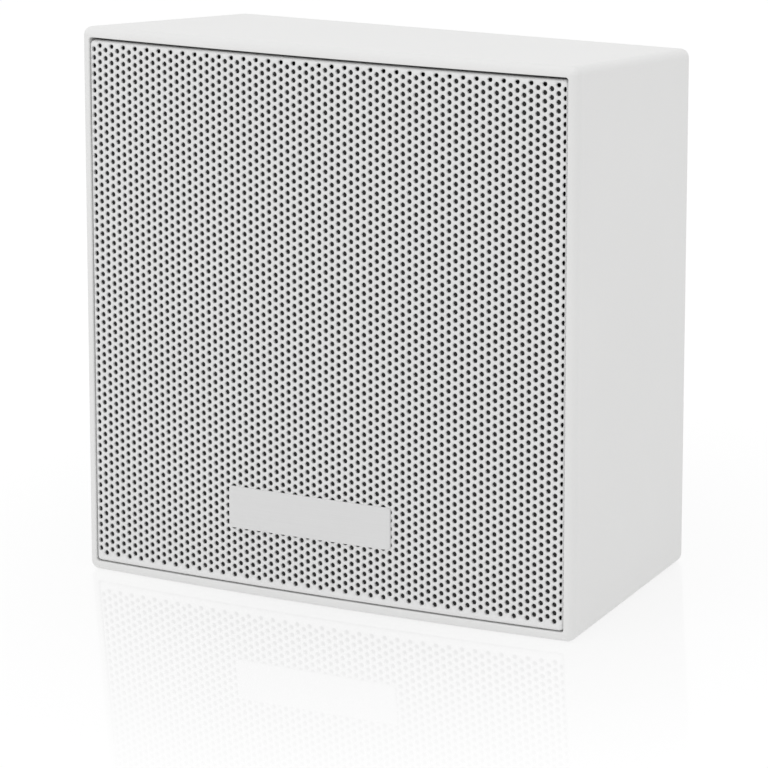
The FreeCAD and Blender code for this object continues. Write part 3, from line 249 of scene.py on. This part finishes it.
def finish(name, pattern, fineness, dark, light, smooth, rough, relief, metal=0.0):
    """A finish from a pattern: its tone runs between two colours and two roughnesses, and its
    height gives a relief of the stated depth."""
    material = bpy.data.materials.new(name)
    material.use_nodes = True
    nodes = material.node_tree.nodes
    links = material.node_tree.links
    shader = nodes["Principled BSDF"]
    shader.inputs["Metallic"].default_value = metal
    place = put(nodes, "ShaderNodeTexCoord")
    surface = put(nodes, "ShaderNodeGroup", node_tree=pattern)
    surface.inputs["Fineness"].default_value = fineness
    links.new(place.outputs["Object"], surface.inputs["Place"])
    colour = put(nodes, "ShaderNodeMix", data_type="RGBA")
    colour.inputs["A"].default_value = (*dark, 1.0)
    colour.inputs["B"].default_value = (*light, 1.0)
    links.new(surface.outputs["Tone"], colour.inputs["Factor"])
    links.new(colour.outputs["Result"], shader.inputs["Base Color"])
    gloss = put(nodes, "ShaderNodeMapRange")
    gloss.inputs["From Min"].default_value = LOW_TONE
    gloss.inputs["From Max"].default_value = HIGH_TONE
    gloss.inputs["To Min"].default_value = smooth
    gloss.inputs["To Max"].default_value = rough
    links.new(surface.outputs["Tone"], gloss.inputs["Value"])
    links.new(gloss.outputs["Result"], shader.inputs["Roughness"])
    bump = put(nodes, "ShaderNodeBump")
    bump.inputs["Strength"].default_value = 1.0
    bump.inputs["Distance"].default_value = relief
    links.new(surface.outputs["Height"], bump.inputs["Height"])
    links.new(bump.outputs["Normal"], shader.inputs["Normal"])
    return material


def grey(level):
    """A neutral colour."""
    return (level, level, level)


WHITE_MOULDING = finish(
    "white_moulding", GRAIN, 1500.0, (0.80, 0.80, 0.795), (0.87, 0.87, 0.865), 0.42, 0.52, 0.02 * MM
)
WHITE_COAT = finish(
    "white_powder_coat", GRAIN, 1100.0, grey(0.80), grey(0.87), 0.38, 0.5, 0.03 * MM
)
BADGE_SATIN = finish("badge_satin", BRUSHED, 2500.0, grey(0.72), grey(0.79), 0.3, 0.45, 0.004 * MM)
DARK_CLOTH = finish("dark_cloth", WOVEN, 900.0, grey(0.012), grey(0.035), 0.85, 0.95, 0.1 * MM)
DARK_MOULDING = finish("dark_moulding", GRAIN, 1500.0, grey(0.022), grey(0.038), 0.4, 0.55, 0.03 * MM)
SOFT_SEAL = finish("soft_seal", GRAIN, 700.0, grey(0.015), grey(0.035), 0.75, 0.95, 0.1 * MM)
FOAM = finish("open_foam", GRAIN, 350.0, grey(0.06), grey(0.16), 0.9, 1.0, 0.8 * MM)
ZINC = finish("zinc_plating", BRUSHED, 2200.0, grey(0.50), (0.64, 0.64, 0.60), 0.25, 0.4, 0.006 * MM, 1.0)
BLACK_ENAMEL = finish("black_enamel", GRAIN, 1300.0, grey(0.02), grey(0.04), 0.25, 0.4, 0.03 * MM)
FERRITE = finish("ground_ferrite", GRAIN, 800.0, grey(0.04), grey(0.075), 0.5, 0.7, 0.04 * MM)
CONE_PLASTIC = finish("cone_plastic", GRAIN, 500.0, grey(0.025), grey(0.05), 0.35, 0.5, 0.05 * MM)
ROLL_RUBBER = finish("roll_rubber", GRAIN, 900.0, grey(0.016), grey(0.03), 0.45, 0.6, 0.03 * MM)
SPIDER_WEAVE = finish(
    "spider_weave", WOVEN, 1500.0, (0.36, 0.22, 0.09), (0.60, 0.41, 0.19), 0.7, 0.85, 0.12 * MM
)
FOIL = finish("plain_foil", BRUSHED, 2500.0, grey(0.62), grey(0.76), 0.2, 0.35, 0.004 * MM, 1.0)
COPPER = finish(
    "enamelled_copper", WOUND, 320.0, (0.45, 0.17, 0.06), (0.80, 0.40, 0.18), 0.2, 0.35, 0.2 * MM, 1.0
)
BOARD = finish(
    "bonded_board", GRAIN, 500.0, (0.34, 0.23, 0.09), (0.50, 0.36, 0.17), 0.5, 0.65, 0.04 * MM
)
SLEEVE = finish(
    "dipped_sleeve", GRAIN, 300.0, (0.46, 0.34, 0.03), (0.62, 0.48, 0.07), 0.2, 0.35, 0.04 * MM
)
CEMENT = finish(
    "cement_body", GRAIN, 600.0, (0.72, 0.70, 0.64), (0.86, 0.84, 0.78), 0.7, 0.85, 0.08 * MM
)
WIRE_SLEEVE = finish(
    "wire_sleeve", GRAIN, 900.0, (0.09, 0.012, 0.012), (0.16, 0.025, 0.025), 0.35, 0.5, 0.03 * MM
)
TINNED = finish(
    "tinned_brass", BRUSHED, 2200.0, (0.52, 0.49, 0.42), (0.70, 0.66, 0.56), 0.25, 0.4, 0.006 * MM, 1.0
)
DOME_FILM = finish(
    "dome_film", GRAIN, 700.0, (0.22, 0.14, 0.04), (0.34, 0.23, 0.08), 0.2, 0.3, 0.02 * MM
)
STRIP = finish(
    "laminated_strip", BRUSHED, 900.0, (0.24, 0.13, 0.05), (0.36, 0.21, 0.09), 0.45, 0.6, 0.03 * MM
)

FINISHES = {
    "badge": BADGE_SATIN,
    "baffle": DARK_MOULDING,
    "baffle_screws": ZINC,
    "baffle_seal": SOFT_SEAL,
    "bass_port": DARK_MOULDING,
    "board_screws": ZINC,
    "cabinet": WHITE_MOULDING,
    "crossover_board": BOARD,
    "crossover_capacitors": SLEEVE,
    "crossover_inductors": COPPER,
    "crossover_resistor": CEMENT,
    "damping_foam": FOAM,
    "grille": WHITE_COAT,
    "grille_cloth": DARK_CLOTH,
    "input_wires": WIRE_SLEEVE,
    "terminal_block": DARK_MOULDING,
    "terminal_clamp_screws": ZINC,
    "terminal_cup": DARK_MOULDING,
    "terminal_pins": TINNED,
    "terminal_screws": ZINC,
    "terminal_seal": SOFT_SEAL,
    "tweeter_dome": DOME_FILM,
    "tweeter_faceplate": DARK_MOULDING,
    "tweeter_magnet": FERRITE,
    "tweeter_pins": TINNED,
    "tweeter_screws": ZINC,
    "tweeter_tag_strip": STRIP,
    "tweeter_top_plate": ZINC,
    "tweeter_wires": WIRE_SLEEVE,
    "tweeter_yoke": ZINC,
    "voice_coil_former": FOIL,
    "voice_coil_winding": COPPER,
    "woofer_basket": BLACK_ENAMEL,
    "woofer_cone": CONE_PLASTIC,
    "woofer_dust_cap": CONE_PLASTIC,
    "woofer_gasket": SOFT_SEAL,
    "woofer_magnet": FERRITE,
    "woofer_screws": ZINC,
    "woofer_spider": SPIDER_WEAVE,
    "woofer_surround": ROLL_RUBBER,
    "woofer_tag_strip": STRIP,
    "woofer_tags": TINNED,
    "woofer_top_plate": ZINC,
    "woofer_wires": WIRE_SLEEVE,
    "woofer_yoke": ZINC,
}

for node_name, node_finish in FINISHES.items():
    NODES[node_name].data.materials.clear()
    NODES[node_name].data.materials.append(node_finish)


# Bowed front

FRONT_RADIUS = 2000 * MM
FRONT_ZONE = 10 * MM
STRIP_WIDTH = 12 * MM
CABINET_MIDDLE = sum(own_box("cabinet"))[[0, 2]] / 2
OUTER_WALL_FROM = 114 * MM
WALL_DRAFT = -BACKWARDS[2] / BACKWARDS[1]
MERGE_DISTANCE = 0.001 * MM
SHARP_ANGLE = math.radians(30.0)


def bowed(across, depth):
    """Depth of a point once the front is bowed: its distance behind the front is kept, measured
    towards an upright axis one front radius behind."""
    return FRONT_RADIUS - np.sqrt((FRONT_RADIUS - depth) ** 2 - across ** 2)


def bowed_copy(name, node):
    """A CAD node with its front bowed: a copy of its mesh is cut into upright strips, each point of
    the front zone moves back on to the bow, on the outer walls along their draft, and the shading
    is worked out anew."""
    low, high = own_box(node)
    strips = bmesh.new()
    strips.from_mesh(NODES[node].data)
    bmesh.ops.remove_doubles(strips, verts=strips.verts[:], dist=MERGE_DISTANCE)
    for across in np.arange(low[0] + STRIP_WIDTH, high[0], STRIP_WIDTH):
        whole = strips.verts[:] + strips.edges[:] + strips.faces[:]
        bmesh.ops.bisect_plane(
            strips, geom=whole, dist=MERGE_DISTANCE, plane_co=(across, 0, 0), plane_no=RIGHT
        )
    mesh = bpy.data.meshes.new(name)
    strips.to_mesh(mesh)
    strips.free()
    if "custom_normal" in mesh.attributes:
        mesh.attributes.remove(mesh.attributes["custom_normal"])
    points = own_points(mesh)
    front = points[:, 1] < FRONT_ZONE
    moved = np.where(front, bowed(points[:, 0], points[:, 1]) - points[:, 1], 0.0)
    aside = points[:, [0, 2]] - CABINET_MIDDLE
    on_walls = np.abs(aside) > OUTER_WALL_FROM
    points[:, [0, 2]] -= np.sign(aside) * on_walls * (WALL_DRAFT * moved)[:, None]
    points[:, 1] += moved
    mesh.vertices.foreach_set("co", placed(points).astype(np.float32).ravel())
    mesh.set_sharp_from_angle(angle=SHARP_ANGLE)
    mesh.update()
    piece = standing_for(node, mesh)
    shading = piece.modifiers.new("even_shading", "WEIGHTED_NORMAL")
    shading.keep_sharp = True


bowed_copy("bowed_cabinet", "cabinet")
bowed_copy("bowed_cloth", "grille_cloth")
bowed_copy("bowed_badge", "badge")


# Grille

SHEET = 0.8 * MM
EDGE_CORNER = 1.8 * MM
EDGE_BEND = 1.6 * MM
FLAT_RUN = EDGE_CORNER - EDGE_BEND
BEND_RUN = EDGE_BEND * math.pi / 2
HOLE_RADIUS = 1.1 * MM
FRONT_CORNERS = 12
FRONT_OUTLINE = 1.02 * HOLE_RADIUS
BACK_CORNERS = 6
BACK_OUTLINE = 1.06 * HOLE_RADIUS
CLEAR_OF_HOLE = 1.3
LOOP_CORNER_POINTS = 6
LOOPS_ROUND_BEND = 5
JOIN_TOLERANCE = 1e-7
PITCH = 3.48 * MM
FIELD_SHIFT = np.array([-2.19, 1.02]) * MM
COLUMNS_EACH_SIDE = 38
HALF_ROWS_EACH_SIDE = 63
BEND_WITH_HOLES = 0.85
FRONT_LOOP_STEP = 2.2 * MM
BACK_LOOP_STEP = 4 * MM
HEM_STEP = 9 * MM


def hole_centres(reach):
    """Places of the holes on the flat blank: upright columns, every second one half a pitch
    higher and with one hole more, a little off the middle, as far as a reach across."""
    column = np.arange(-COLUMNS_EACH_SIDE, COLUMNS_EACH_SIDE + 1)
    half_row = np.arange(-HALF_ROWS_EACH_SIDE, HALF_ROWS_EACH_SIDE + 1)
    column, half_row = np.meshgrid(column, half_row, indexing="ij")
    staggered = (column + half_row) % 2 == 0
    across = column[staggered] * PITCH * math.sqrt(3) / 2
    up = half_row[staggered] * PITCH / 2
    centres = np.stack([across, up], 1) + FIELD_SHIFT
    return centres[np.abs(centres[:, 0]) <= reach]


def blank_loop(core, run, step):
    """Points round the blank at one run outside the core rectangle: straight along the sides and
    a quarter circle at each corner."""
    turn = np.linspace(0.0, math.pi / 2, LOOP_CORNER_POINTS)
    across = np.linspace(-core[0], core[0], max(2, round(2 * core[0] / step)))
    up = np.linspace(-core[1], core[1], max(2, round(2 * core[1] / step)))
    outer = core + run
    corner = core + np.stack([np.cos(turn), np.sin(turn)], 1) * run
    right = np.stack([up * 0 + outer[0], up], 1)
    top = np.stack([across, across * 0 + outer[1]], 1)
    parts = [
        right[:-1],
        corner,
        top[::-1][1:-1],
        corner[::-1] * [-1, 1],
        right[::-1][1:-1] * [-1, 1],
        -corner,
        top[1:-1] * [1, -1],
        corner[::-1] * [1, -1],
    ]
    return np.concatenate(parts)[:-1]


def folded(blank, sunk, core, low, high):
    """The blank folded back round its edges and bowed between two corners of a box. A point at run
    r outside the core rectangle stays flat up to the bend, goes round a quarter circle, then
    straight back along the fold to the box's back. Then each depth follows a circle about an
    upright axis behind. sunk is the depth below the outer skin."""
    beyond = np.maximum(np.abs(blank) - core, 0.0)
    run = np.hypot(beyond[:, 0], beyond[:, 1])
    heading = beyond / np.maximum(run, NEARLY_NOTHING)[:, None]
    turn = np.clip((run - FLAT_RUN) / EDGE_BEND, 0.0, math.pi / 2)
    reach = np.minimum(run, FLAT_RUN) + (EDGE_BEND - sunk) * np.sin(turn)
    depth = EDGE_BEND - (EDGE_BEND - sunk) * np.cos(turn)
    depth = low[1] + depth + np.maximum(run - FLAT_RUN - BEND_RUN, 0.0)
    flat = np.sign(blank) * (np.minimum(np.abs(blank), core) + heading * reach[:, None])
    flat = flat + (low + high)[[0, 2]] / 2
    depth = np.minimum(bowed(flat[:, 0], depth), high[1])
    own = np.stack([flat[:, 0], depth, flat[:, 1]], 1)
    return placed(own)


def perforated_skin(centres, corners, radius, loops, border):
    """Flat skin of the blank with a polygon cut out at each hole: all outline points joined into
    well-shaped triangles, less those whose corners are all on one hole."""
    turn = np.arange(corners) * (2 * math.pi / corners)
    ring = np.stack([np.cos(turn), np.sin(turn)], 1) * radius
    outlines = (centres[:, None] + ring).reshape(-1, 2)
    nearest = np.hypot(*(loops[:, None] - centres).transpose(2, 0, 1)).min(1)
    clear = nearest > CLEAR_OF_HOLE * radius
    points = np.concatenate([outlines, border, loops[clear]])
    owner = np.arange(len(points)) // corners
    owner[len(outlines):] = -np.arange(len(points) - len(outlines))
    joined = delaunay_2d_cdt((points / MM).tolist(), [], [], 0, JOIN_TOLERANCE)
    triangles = np.array(joined[2])
    owners = owner[triangles]
    inside = (owners[:, 0] == owners[:, 1]) & (owners[:, 1] == owners[:, 2])
    return points, triangles[~inside]


def hole_walls(front, back):
    """Walls of the holes between their outlines in the front skin, two corners to each corner of
    their outlines in the back skin."""
    even, odd, onward = front[:, 0::2], front[:, 1::2], np.roll(front[:, 0::2], -1, 1)
    ahead = np.roll(back, -1, 1)
    walls = [(even, odd, back), (odd, onward, ahead), (odd, ahead, back)]
    return np.concatenate([np.stack(corners, 2).reshape(-1, 3) for corners in walls])


def hem_strip(front, back):
    """Strip round the sheet's edge between the borders of its two skins."""
    front_next, back_next = np.roll(front, -1), np.roll(back, -1)
    hems = [(front, back, front_next), (front_next, back, back_next)]
    return np.concatenate([np.stack(corners, 1) for corners in hems])


def folded_grille():
    """White steel sheet with fine staggered holes, bowed and folded back round its four edges: a
    front skin and a back skin, joined by the walls of the holes and the strip round the edge."""
    low, high = own_box("grille")
    core = (high - low)[[0, 2]] / 2 - EDGE_CORNER
    last_run = FLAT_RUN + BEND_RUN + (high[1] - low[1] - EDGE_BEND)
    centres = hole_centres(core[0] + FLAT_RUN + BEND_WITH_HOLES * BEND_RUN)
    border = blank_loop(core, last_run, HEM_STEP)
    runs = FLAT_RUN + BEND_RUN * np.linspace(0.0, 1.0, LOOPS_ROUND_BEND)
    front_loops = np.concatenate([blank_loop(core, run, FRONT_LOOP_STEP) for run in runs])
    back_loops = np.concatenate([blank_loop(core, run, BACK_LOOP_STEP) for run in runs[::2]])
    skin, skin_faces = perforated_skin(centres, FRONT_CORNERS, FRONT_OUTLINE, front_loops, border)
    rear, rear_faces = perforated_skin(centres, BACK_CORNERS, BACK_OUTLINE, back_loops, border)
    points = [folded(skin, 0.0, core, low, high), folded(rear, SHEET, core, low, high)]
    holes = np.arange(len(centres))[:, None]
    front = FRONT_CORNERS * holes + np.arange(FRONT_CORNERS)
    back = len(skin) + BACK_CORNERS * holes + np.arange(BACK_CORNERS)
    edge = np.arange(len(border))
    triangles = [
        skin_faces,
        rear_faces[:, ::-1] + len(skin),
        hole_walls(front, back),
        hem_strip(front.size + edge, len(skin) + back.size + edge),
    ]
    triangles = np.concatenate(triangles)
    rounded = np.arange(len(triangles)) < len(skin_faces) + len(rear_faces)
    new_piece("perforated_grille", np.concatenate(points), triangles, rounded, "grille")


folded_grille()


# Screws of the terminal cup

SHANK_RADIUS = 1.4 * MM
HEAD_RADIUS = 2.6 * MM
HEAD_HEIGHT = 1.9 * MM
HEAD_SIDE = 0.55 * HEAD_HEIGHT
SHOULDER_RADIUS = 0.9 * HEAD_RADIUS
SHOULDER_HEIGHT = 0.85 * HEAD_HEIGHT
CROWN_RADIUS = 0.66 * HEAD_RADIUS
CROSS_ARM = 1.45 * MM
CROSS_HALF_WIDTH = 0.42 * MM
CROSS_DEPTH = 1.1 * MM
CROSS_TAPER = 0.8


def cross_outline():
    """Turns round a cross, six to each quarter with all its corners, and its reach at each: as far
    as an arm's end or an arm's side, whichever comes first, on the arm that reaches further."""
    corner = math.atan2(CROSS_HALF_WIDTH, CROSS_ARM)
    between = (corner + math.pi / 4) / 2
    quarter = np.array([-corner, 0.0, corner, between, math.pi / 4, math.pi / 2 - between])
    turn = (quarter + np.arange(4)[:, None] * math.pi / 2).ravel()
    along = np.maximum(np.abs(np.cos(turn)), NEARLY_NOTHING)
    aside = np.maximum(np.abs(np.sin(turn)), NEARLY_NOTHING)
    level_arm = np.minimum(CROSS_ARM / along, CROSS_HALF_WIDTH / aside)
    upright_arm = np.minimum(CROSS_ARM / aside, CROSS_HALF_WIDTH / along)
    return turn, np.maximum(level_arm, upright_arm)


def cross_screws():
    """Pan-head screws at the four corners of the cup's flange. Rings about an axis that points
    back run along the shank, over the head, to the cross-shaped mouth of its recess and down to
    the recess floor, and a point closes each end."""
    low, high = own_box("terminal_screws")
    turn, cross = cross_outline()
    seat = high[1] - HEAD_HEIGHT
    floor = high[1] - CROSS_DEPTH
    circle = np.ones(len(turn))
    rings = [
        (SHANK_RADIUS * circle, low[1]),
        (SHANK_RADIUS * circle, seat),
        (HEAD_RADIUS * circle, seat),
        (HEAD_RADIUS * circle, seat + HEAD_SIDE),
        (SHOULDER_RADIUS * circle, seat + SHOULDER_HEIGHT),
        (CROWN_RADIUS * circle, high[1]),
        (cross, high[1]),
        (CROSS_TAPER * cross, floor),
    ]
    points = [np.stack([r * np.cos(turn), r * 0 + depth, r * np.sin(turn)], 1) for r, depth in rings]
    points = np.concatenate(points + [[[0.0, low[1], 0.0], [0.0, floor, 0.0]]])
    here = np.arange(len(turn))
    after = np.roll(here, -1)
    first = len(turn) * np.arange(len(rings) - 1)[:, None]
    near, near_next = first + here, first + after
    far, far_next = near + len(turn), near_next + len(turn)
    tip = np.full(len(turn), len(points) - 2)
    last = len(turn) * (len(rings) - 1)
    bands = [(near, far_next, near_next), (near, far, far_next)]
    faces = [np.stack(corners, 2).reshape(-1, 3) for corners in bands]
    faces += [np.stack([tip, here, after], 1), np.stack([tip + 1, last + after, last + here], 1)]
    faces = np.concatenate(faces)
    across = [low[0] + HEAD_RADIUS, high[0] - HEAD_RADIUS]
    up = [low[2] + HEAD_RADIUS, high[2] - HEAD_RADIUS]
    middles = np.array([[x, 0.0, z] for x in across for z in up])
    screws = (middles[:, None] + points).reshape(-1, 3)
    triangles = (len(points) * np.arange(4)[:, None, None] + faces).reshape(-1, 3)
    rounded = np.zeros(len(triangles), bool)
    new_piece("cross_screws", placed(screws), triangles, rounded, "terminal_screws")


cross_screws()


# Studio

FLOOR_PAINT = 0.9
FLOOR_REFLECTION = 0.21
MIRROR_ROUGHNESS = 0.02
FLOOR_GLOW = 0.5
FLOOR_GLOW_SEEN = 0.85
FLOOR_BRIGHTNESS = 1.05
FLOOR_HALF_WIDTH = 8.0
MIRROR_FULL_WITHIN = 0.07
MIRROR_GONE_BEYOND = 0.30
SOFT_LIGHT = 0.70
LAMP_AIM = (0.0, 0.0, 0.1)
NEARLY_OVERHEAD = 0.9


def studio_floor():
    """A wide pale light table: it glows softly, keeps a faint shadow of the object, and mirrors
    it a little near its foot, less further away."""
    material = bpy.data.materials.new("pale_floor")
    material.use_nodes = True
    nodes = material.node_tree.nodes
    links = material.node_tree.links
    nodes.clear()
    leave = put(nodes, "ShaderNodeOutputMaterial")
    paint = put(nodes, "ShaderNodeBsdfDiffuse")
    paint.inputs["Color"].default_value = (*grey(FLOOR_PAINT), 1.0)
    bright = put(nodes, "ShaderNodeEmission")
    bright.inputs["Strength"].default_value = FLOOR_BRIGHTNESS
    mirror = put(nodes, "ShaderNodeBsdfGlossy")
    mirror.inputs["Roughness"].default_value = MIRROR_ROUGHNESS
    rays = put(nodes, "ShaderNodeLightPath")
    glow = put(nodes, "ShaderNodeMapRange")
    glow.inputs["To Min"].default_value = FLOOR_GLOW
    glow.inputs["To Max"].default_value = FLOOR_GLOW_SEEN
    links.new(rays.outputs["Is Camera Ray"], glow.inputs["Value"])
    base = put(nodes, "ShaderNodeMixShader")
    links.new(glow.outputs["Result"], base.inputs["Fac"])
    links.new(paint.outputs[0], base.inputs[1])
    links.new(bright.outputs[0], base.inputs[2])
    place = put(nodes, "ShaderNodeTexCoord")
    away = put(nodes, "ShaderNodeVectorMath", operation="LENGTH")
    links.new(place.outputs["Object"], away.inputs[0])
    fade = put(nodes, "ShaderNodeMapRange")
    fade.inputs["From Min"].default_value = MIRROR_FULL_WITHIN
    fade.inputs["From Max"].default_value = MIRROR_GONE_BEYOND
    fade.inputs["To Min"].default_value = FLOOR_REFLECTION
    fade.inputs["To Max"].default_value = 0.0
    links.new(away.outputs["Value"], fade.inputs["Value"])
    whole = put(nodes, "ShaderNodeMixShader")
    links.new(fade.outputs["Result"], whole.inputs["Fac"])
    links.new(base.outputs[0], whole.inputs[1])
    links.new(mirror.outputs[0], whole.inputs[2])
    links.new(whole.outputs[0], leave.inputs["Surface"])
    mesh = bpy.data.meshes.new("floor")
    corners = np.array([[-1, -1, 0], [1, -1, 0], [1, 1, 0], [-1, 1, 0]]) * FLOOR_HALF_WIDTH
    mesh.from_pydata(corners.tolist(), [], [(0, 1, 2, 3)])
    mesh.materials.append(material)
    floor = bpy.data.objects.new("floor", mesh)
    bpy.context.scene.collection.objects.link(floor)


def studio_world():
    """Even soft light from all round, and white where the camera or a reflection looks out."""
    world = bpy.data.worlds.new("studio")
    bpy.context.scene.world = world
    world.use_nodes = True
    nodes = world.node_tree.nodes
    links = world.node_tree.links
    nodes.clear()
    leave = put(nodes, "ShaderNodeOutputWorld")
    soft = put(nodes, "ShaderNodeBackground")
    soft.inputs["Color"].default_value = (1.0, 1.0, 1.0, 1.0)
    soft.inputs["Strength"].default_value = SOFT_LIGHT
    white = put(nodes, "ShaderNodeBackground")
    white.inputs["Color"].default_value = (1.0, 1.0, 1.0, 1.0)
    white.inputs["Strength"].default_value = 1.0
    rays = put(nodes, "ShaderNodeLightPath")
    direct = put(nodes, "ShaderNodeMath", operation="MAXIMUM")
    links.new(rays.outputs["Is Camera Ray"], direct.inputs[0])
    links.new(rays.outputs["Is Transmission Ray"], direct.inputs[1])
    looking = put(nodes, "ShaderNodeMath", operation="MAXIMUM")
    links.new(direct.outputs[0], looking.inputs[0])
    links.new(rays.outputs["Is Glossy Ray"], looking.inputs[1])
    pick = put(nodes, "ShaderNodeMixShader")
    links.new(looking.outputs[0], pick.inputs["Fac"])
    links.new(soft.outputs[0], pick.inputs[1])
    links.new(white.outputs[0], pick.inputs[2])
    links.new(pick.outputs[0], leave.inputs["Surface"])


def soft_box(name, place, aim, size, power):
    """A square lamp at a place, turned towards an aim point."""
    lamp = bpy.data.lights.new(name, "AREA")
    lamp.size = size
    lamp.energy = power
    holder = bpy.data.objects.new(name, lamp)
    back = np.array(place, float) - np.array(aim, float)
    back = back / np.linalg.norm(back)
    guide = [0.0, 1.0, 0.0] if abs(back[2]) > NEARLY_OVERHEAD else [0.0, 0.0, 1.0]
    side = np.cross(guide, back)
    side = side / np.linalg.norm(side)
    turn = Matrix([list(row) for row in np.stack([side, np.cross(back, side), back], 1)])
    holder.matrix_world = Matrix.Translation(place) @ turn.to_4x4()
    bpy.context.scene.collection.objects.link(holder)


studio_floor()
studio_world()
soft_box("lamp_above", place=(0.2, -0.2, 2.6), aim=LAMP_AIM, size=2.2, power=16.0)
soft_box("lamp_front_left", place=(-1.4, -2.4, 1.2), aim=LAMP_AIM, size=1.6, power=7.0)


# Camera

LOOK_AT = np.array([0.0316, 0.0, 0.0994])
AZIMUTH = math.radians(30.12)
ELEVATION = math.radians(12.64)
DISTANCE = 1.774
FOCAL_PIXELS = 4343.6
IMAGE_PIXELS = 768.0


def photo_camera():
    """Camera of the photograph, found in the speaker's own directions and then stood up with it."""
    back = np.array(
        [
            math.sin(AZIMUTH) * math.cos(ELEVATION),
            -math.cos(AZIMUTH) * math.cos(ELEVATION),
            math.sin(ELEVATION),
        ]
    )
    side = np.array([math.cos(AZIMUTH), math.sin(AZIMUTH), 0.0])
    place = placed(LOOK_AT + DISTANCE * back)
    turned = np.stack([side, np.cross(back, side), back]) @ OWN_AXES
    camera = bpy.data.cameras.new("photo_camera")
    camera.lens = camera.sensor_width * FOCAL_PIXELS / IMAGE_PIXELS
    holder = bpy.data.objects.new("photo_camera", camera)
    turn = Matrix([list(row) for row in turned.T])
    holder.matrix_world = Matrix.Translation(place) @ turn.to_4x4()
    bpy.context.scene.collection.objects.link(holder)
    bpy.context.scene.camera = holder


photo_camera()
bpy.context.scene.view_settings.view_transform = "Standard"
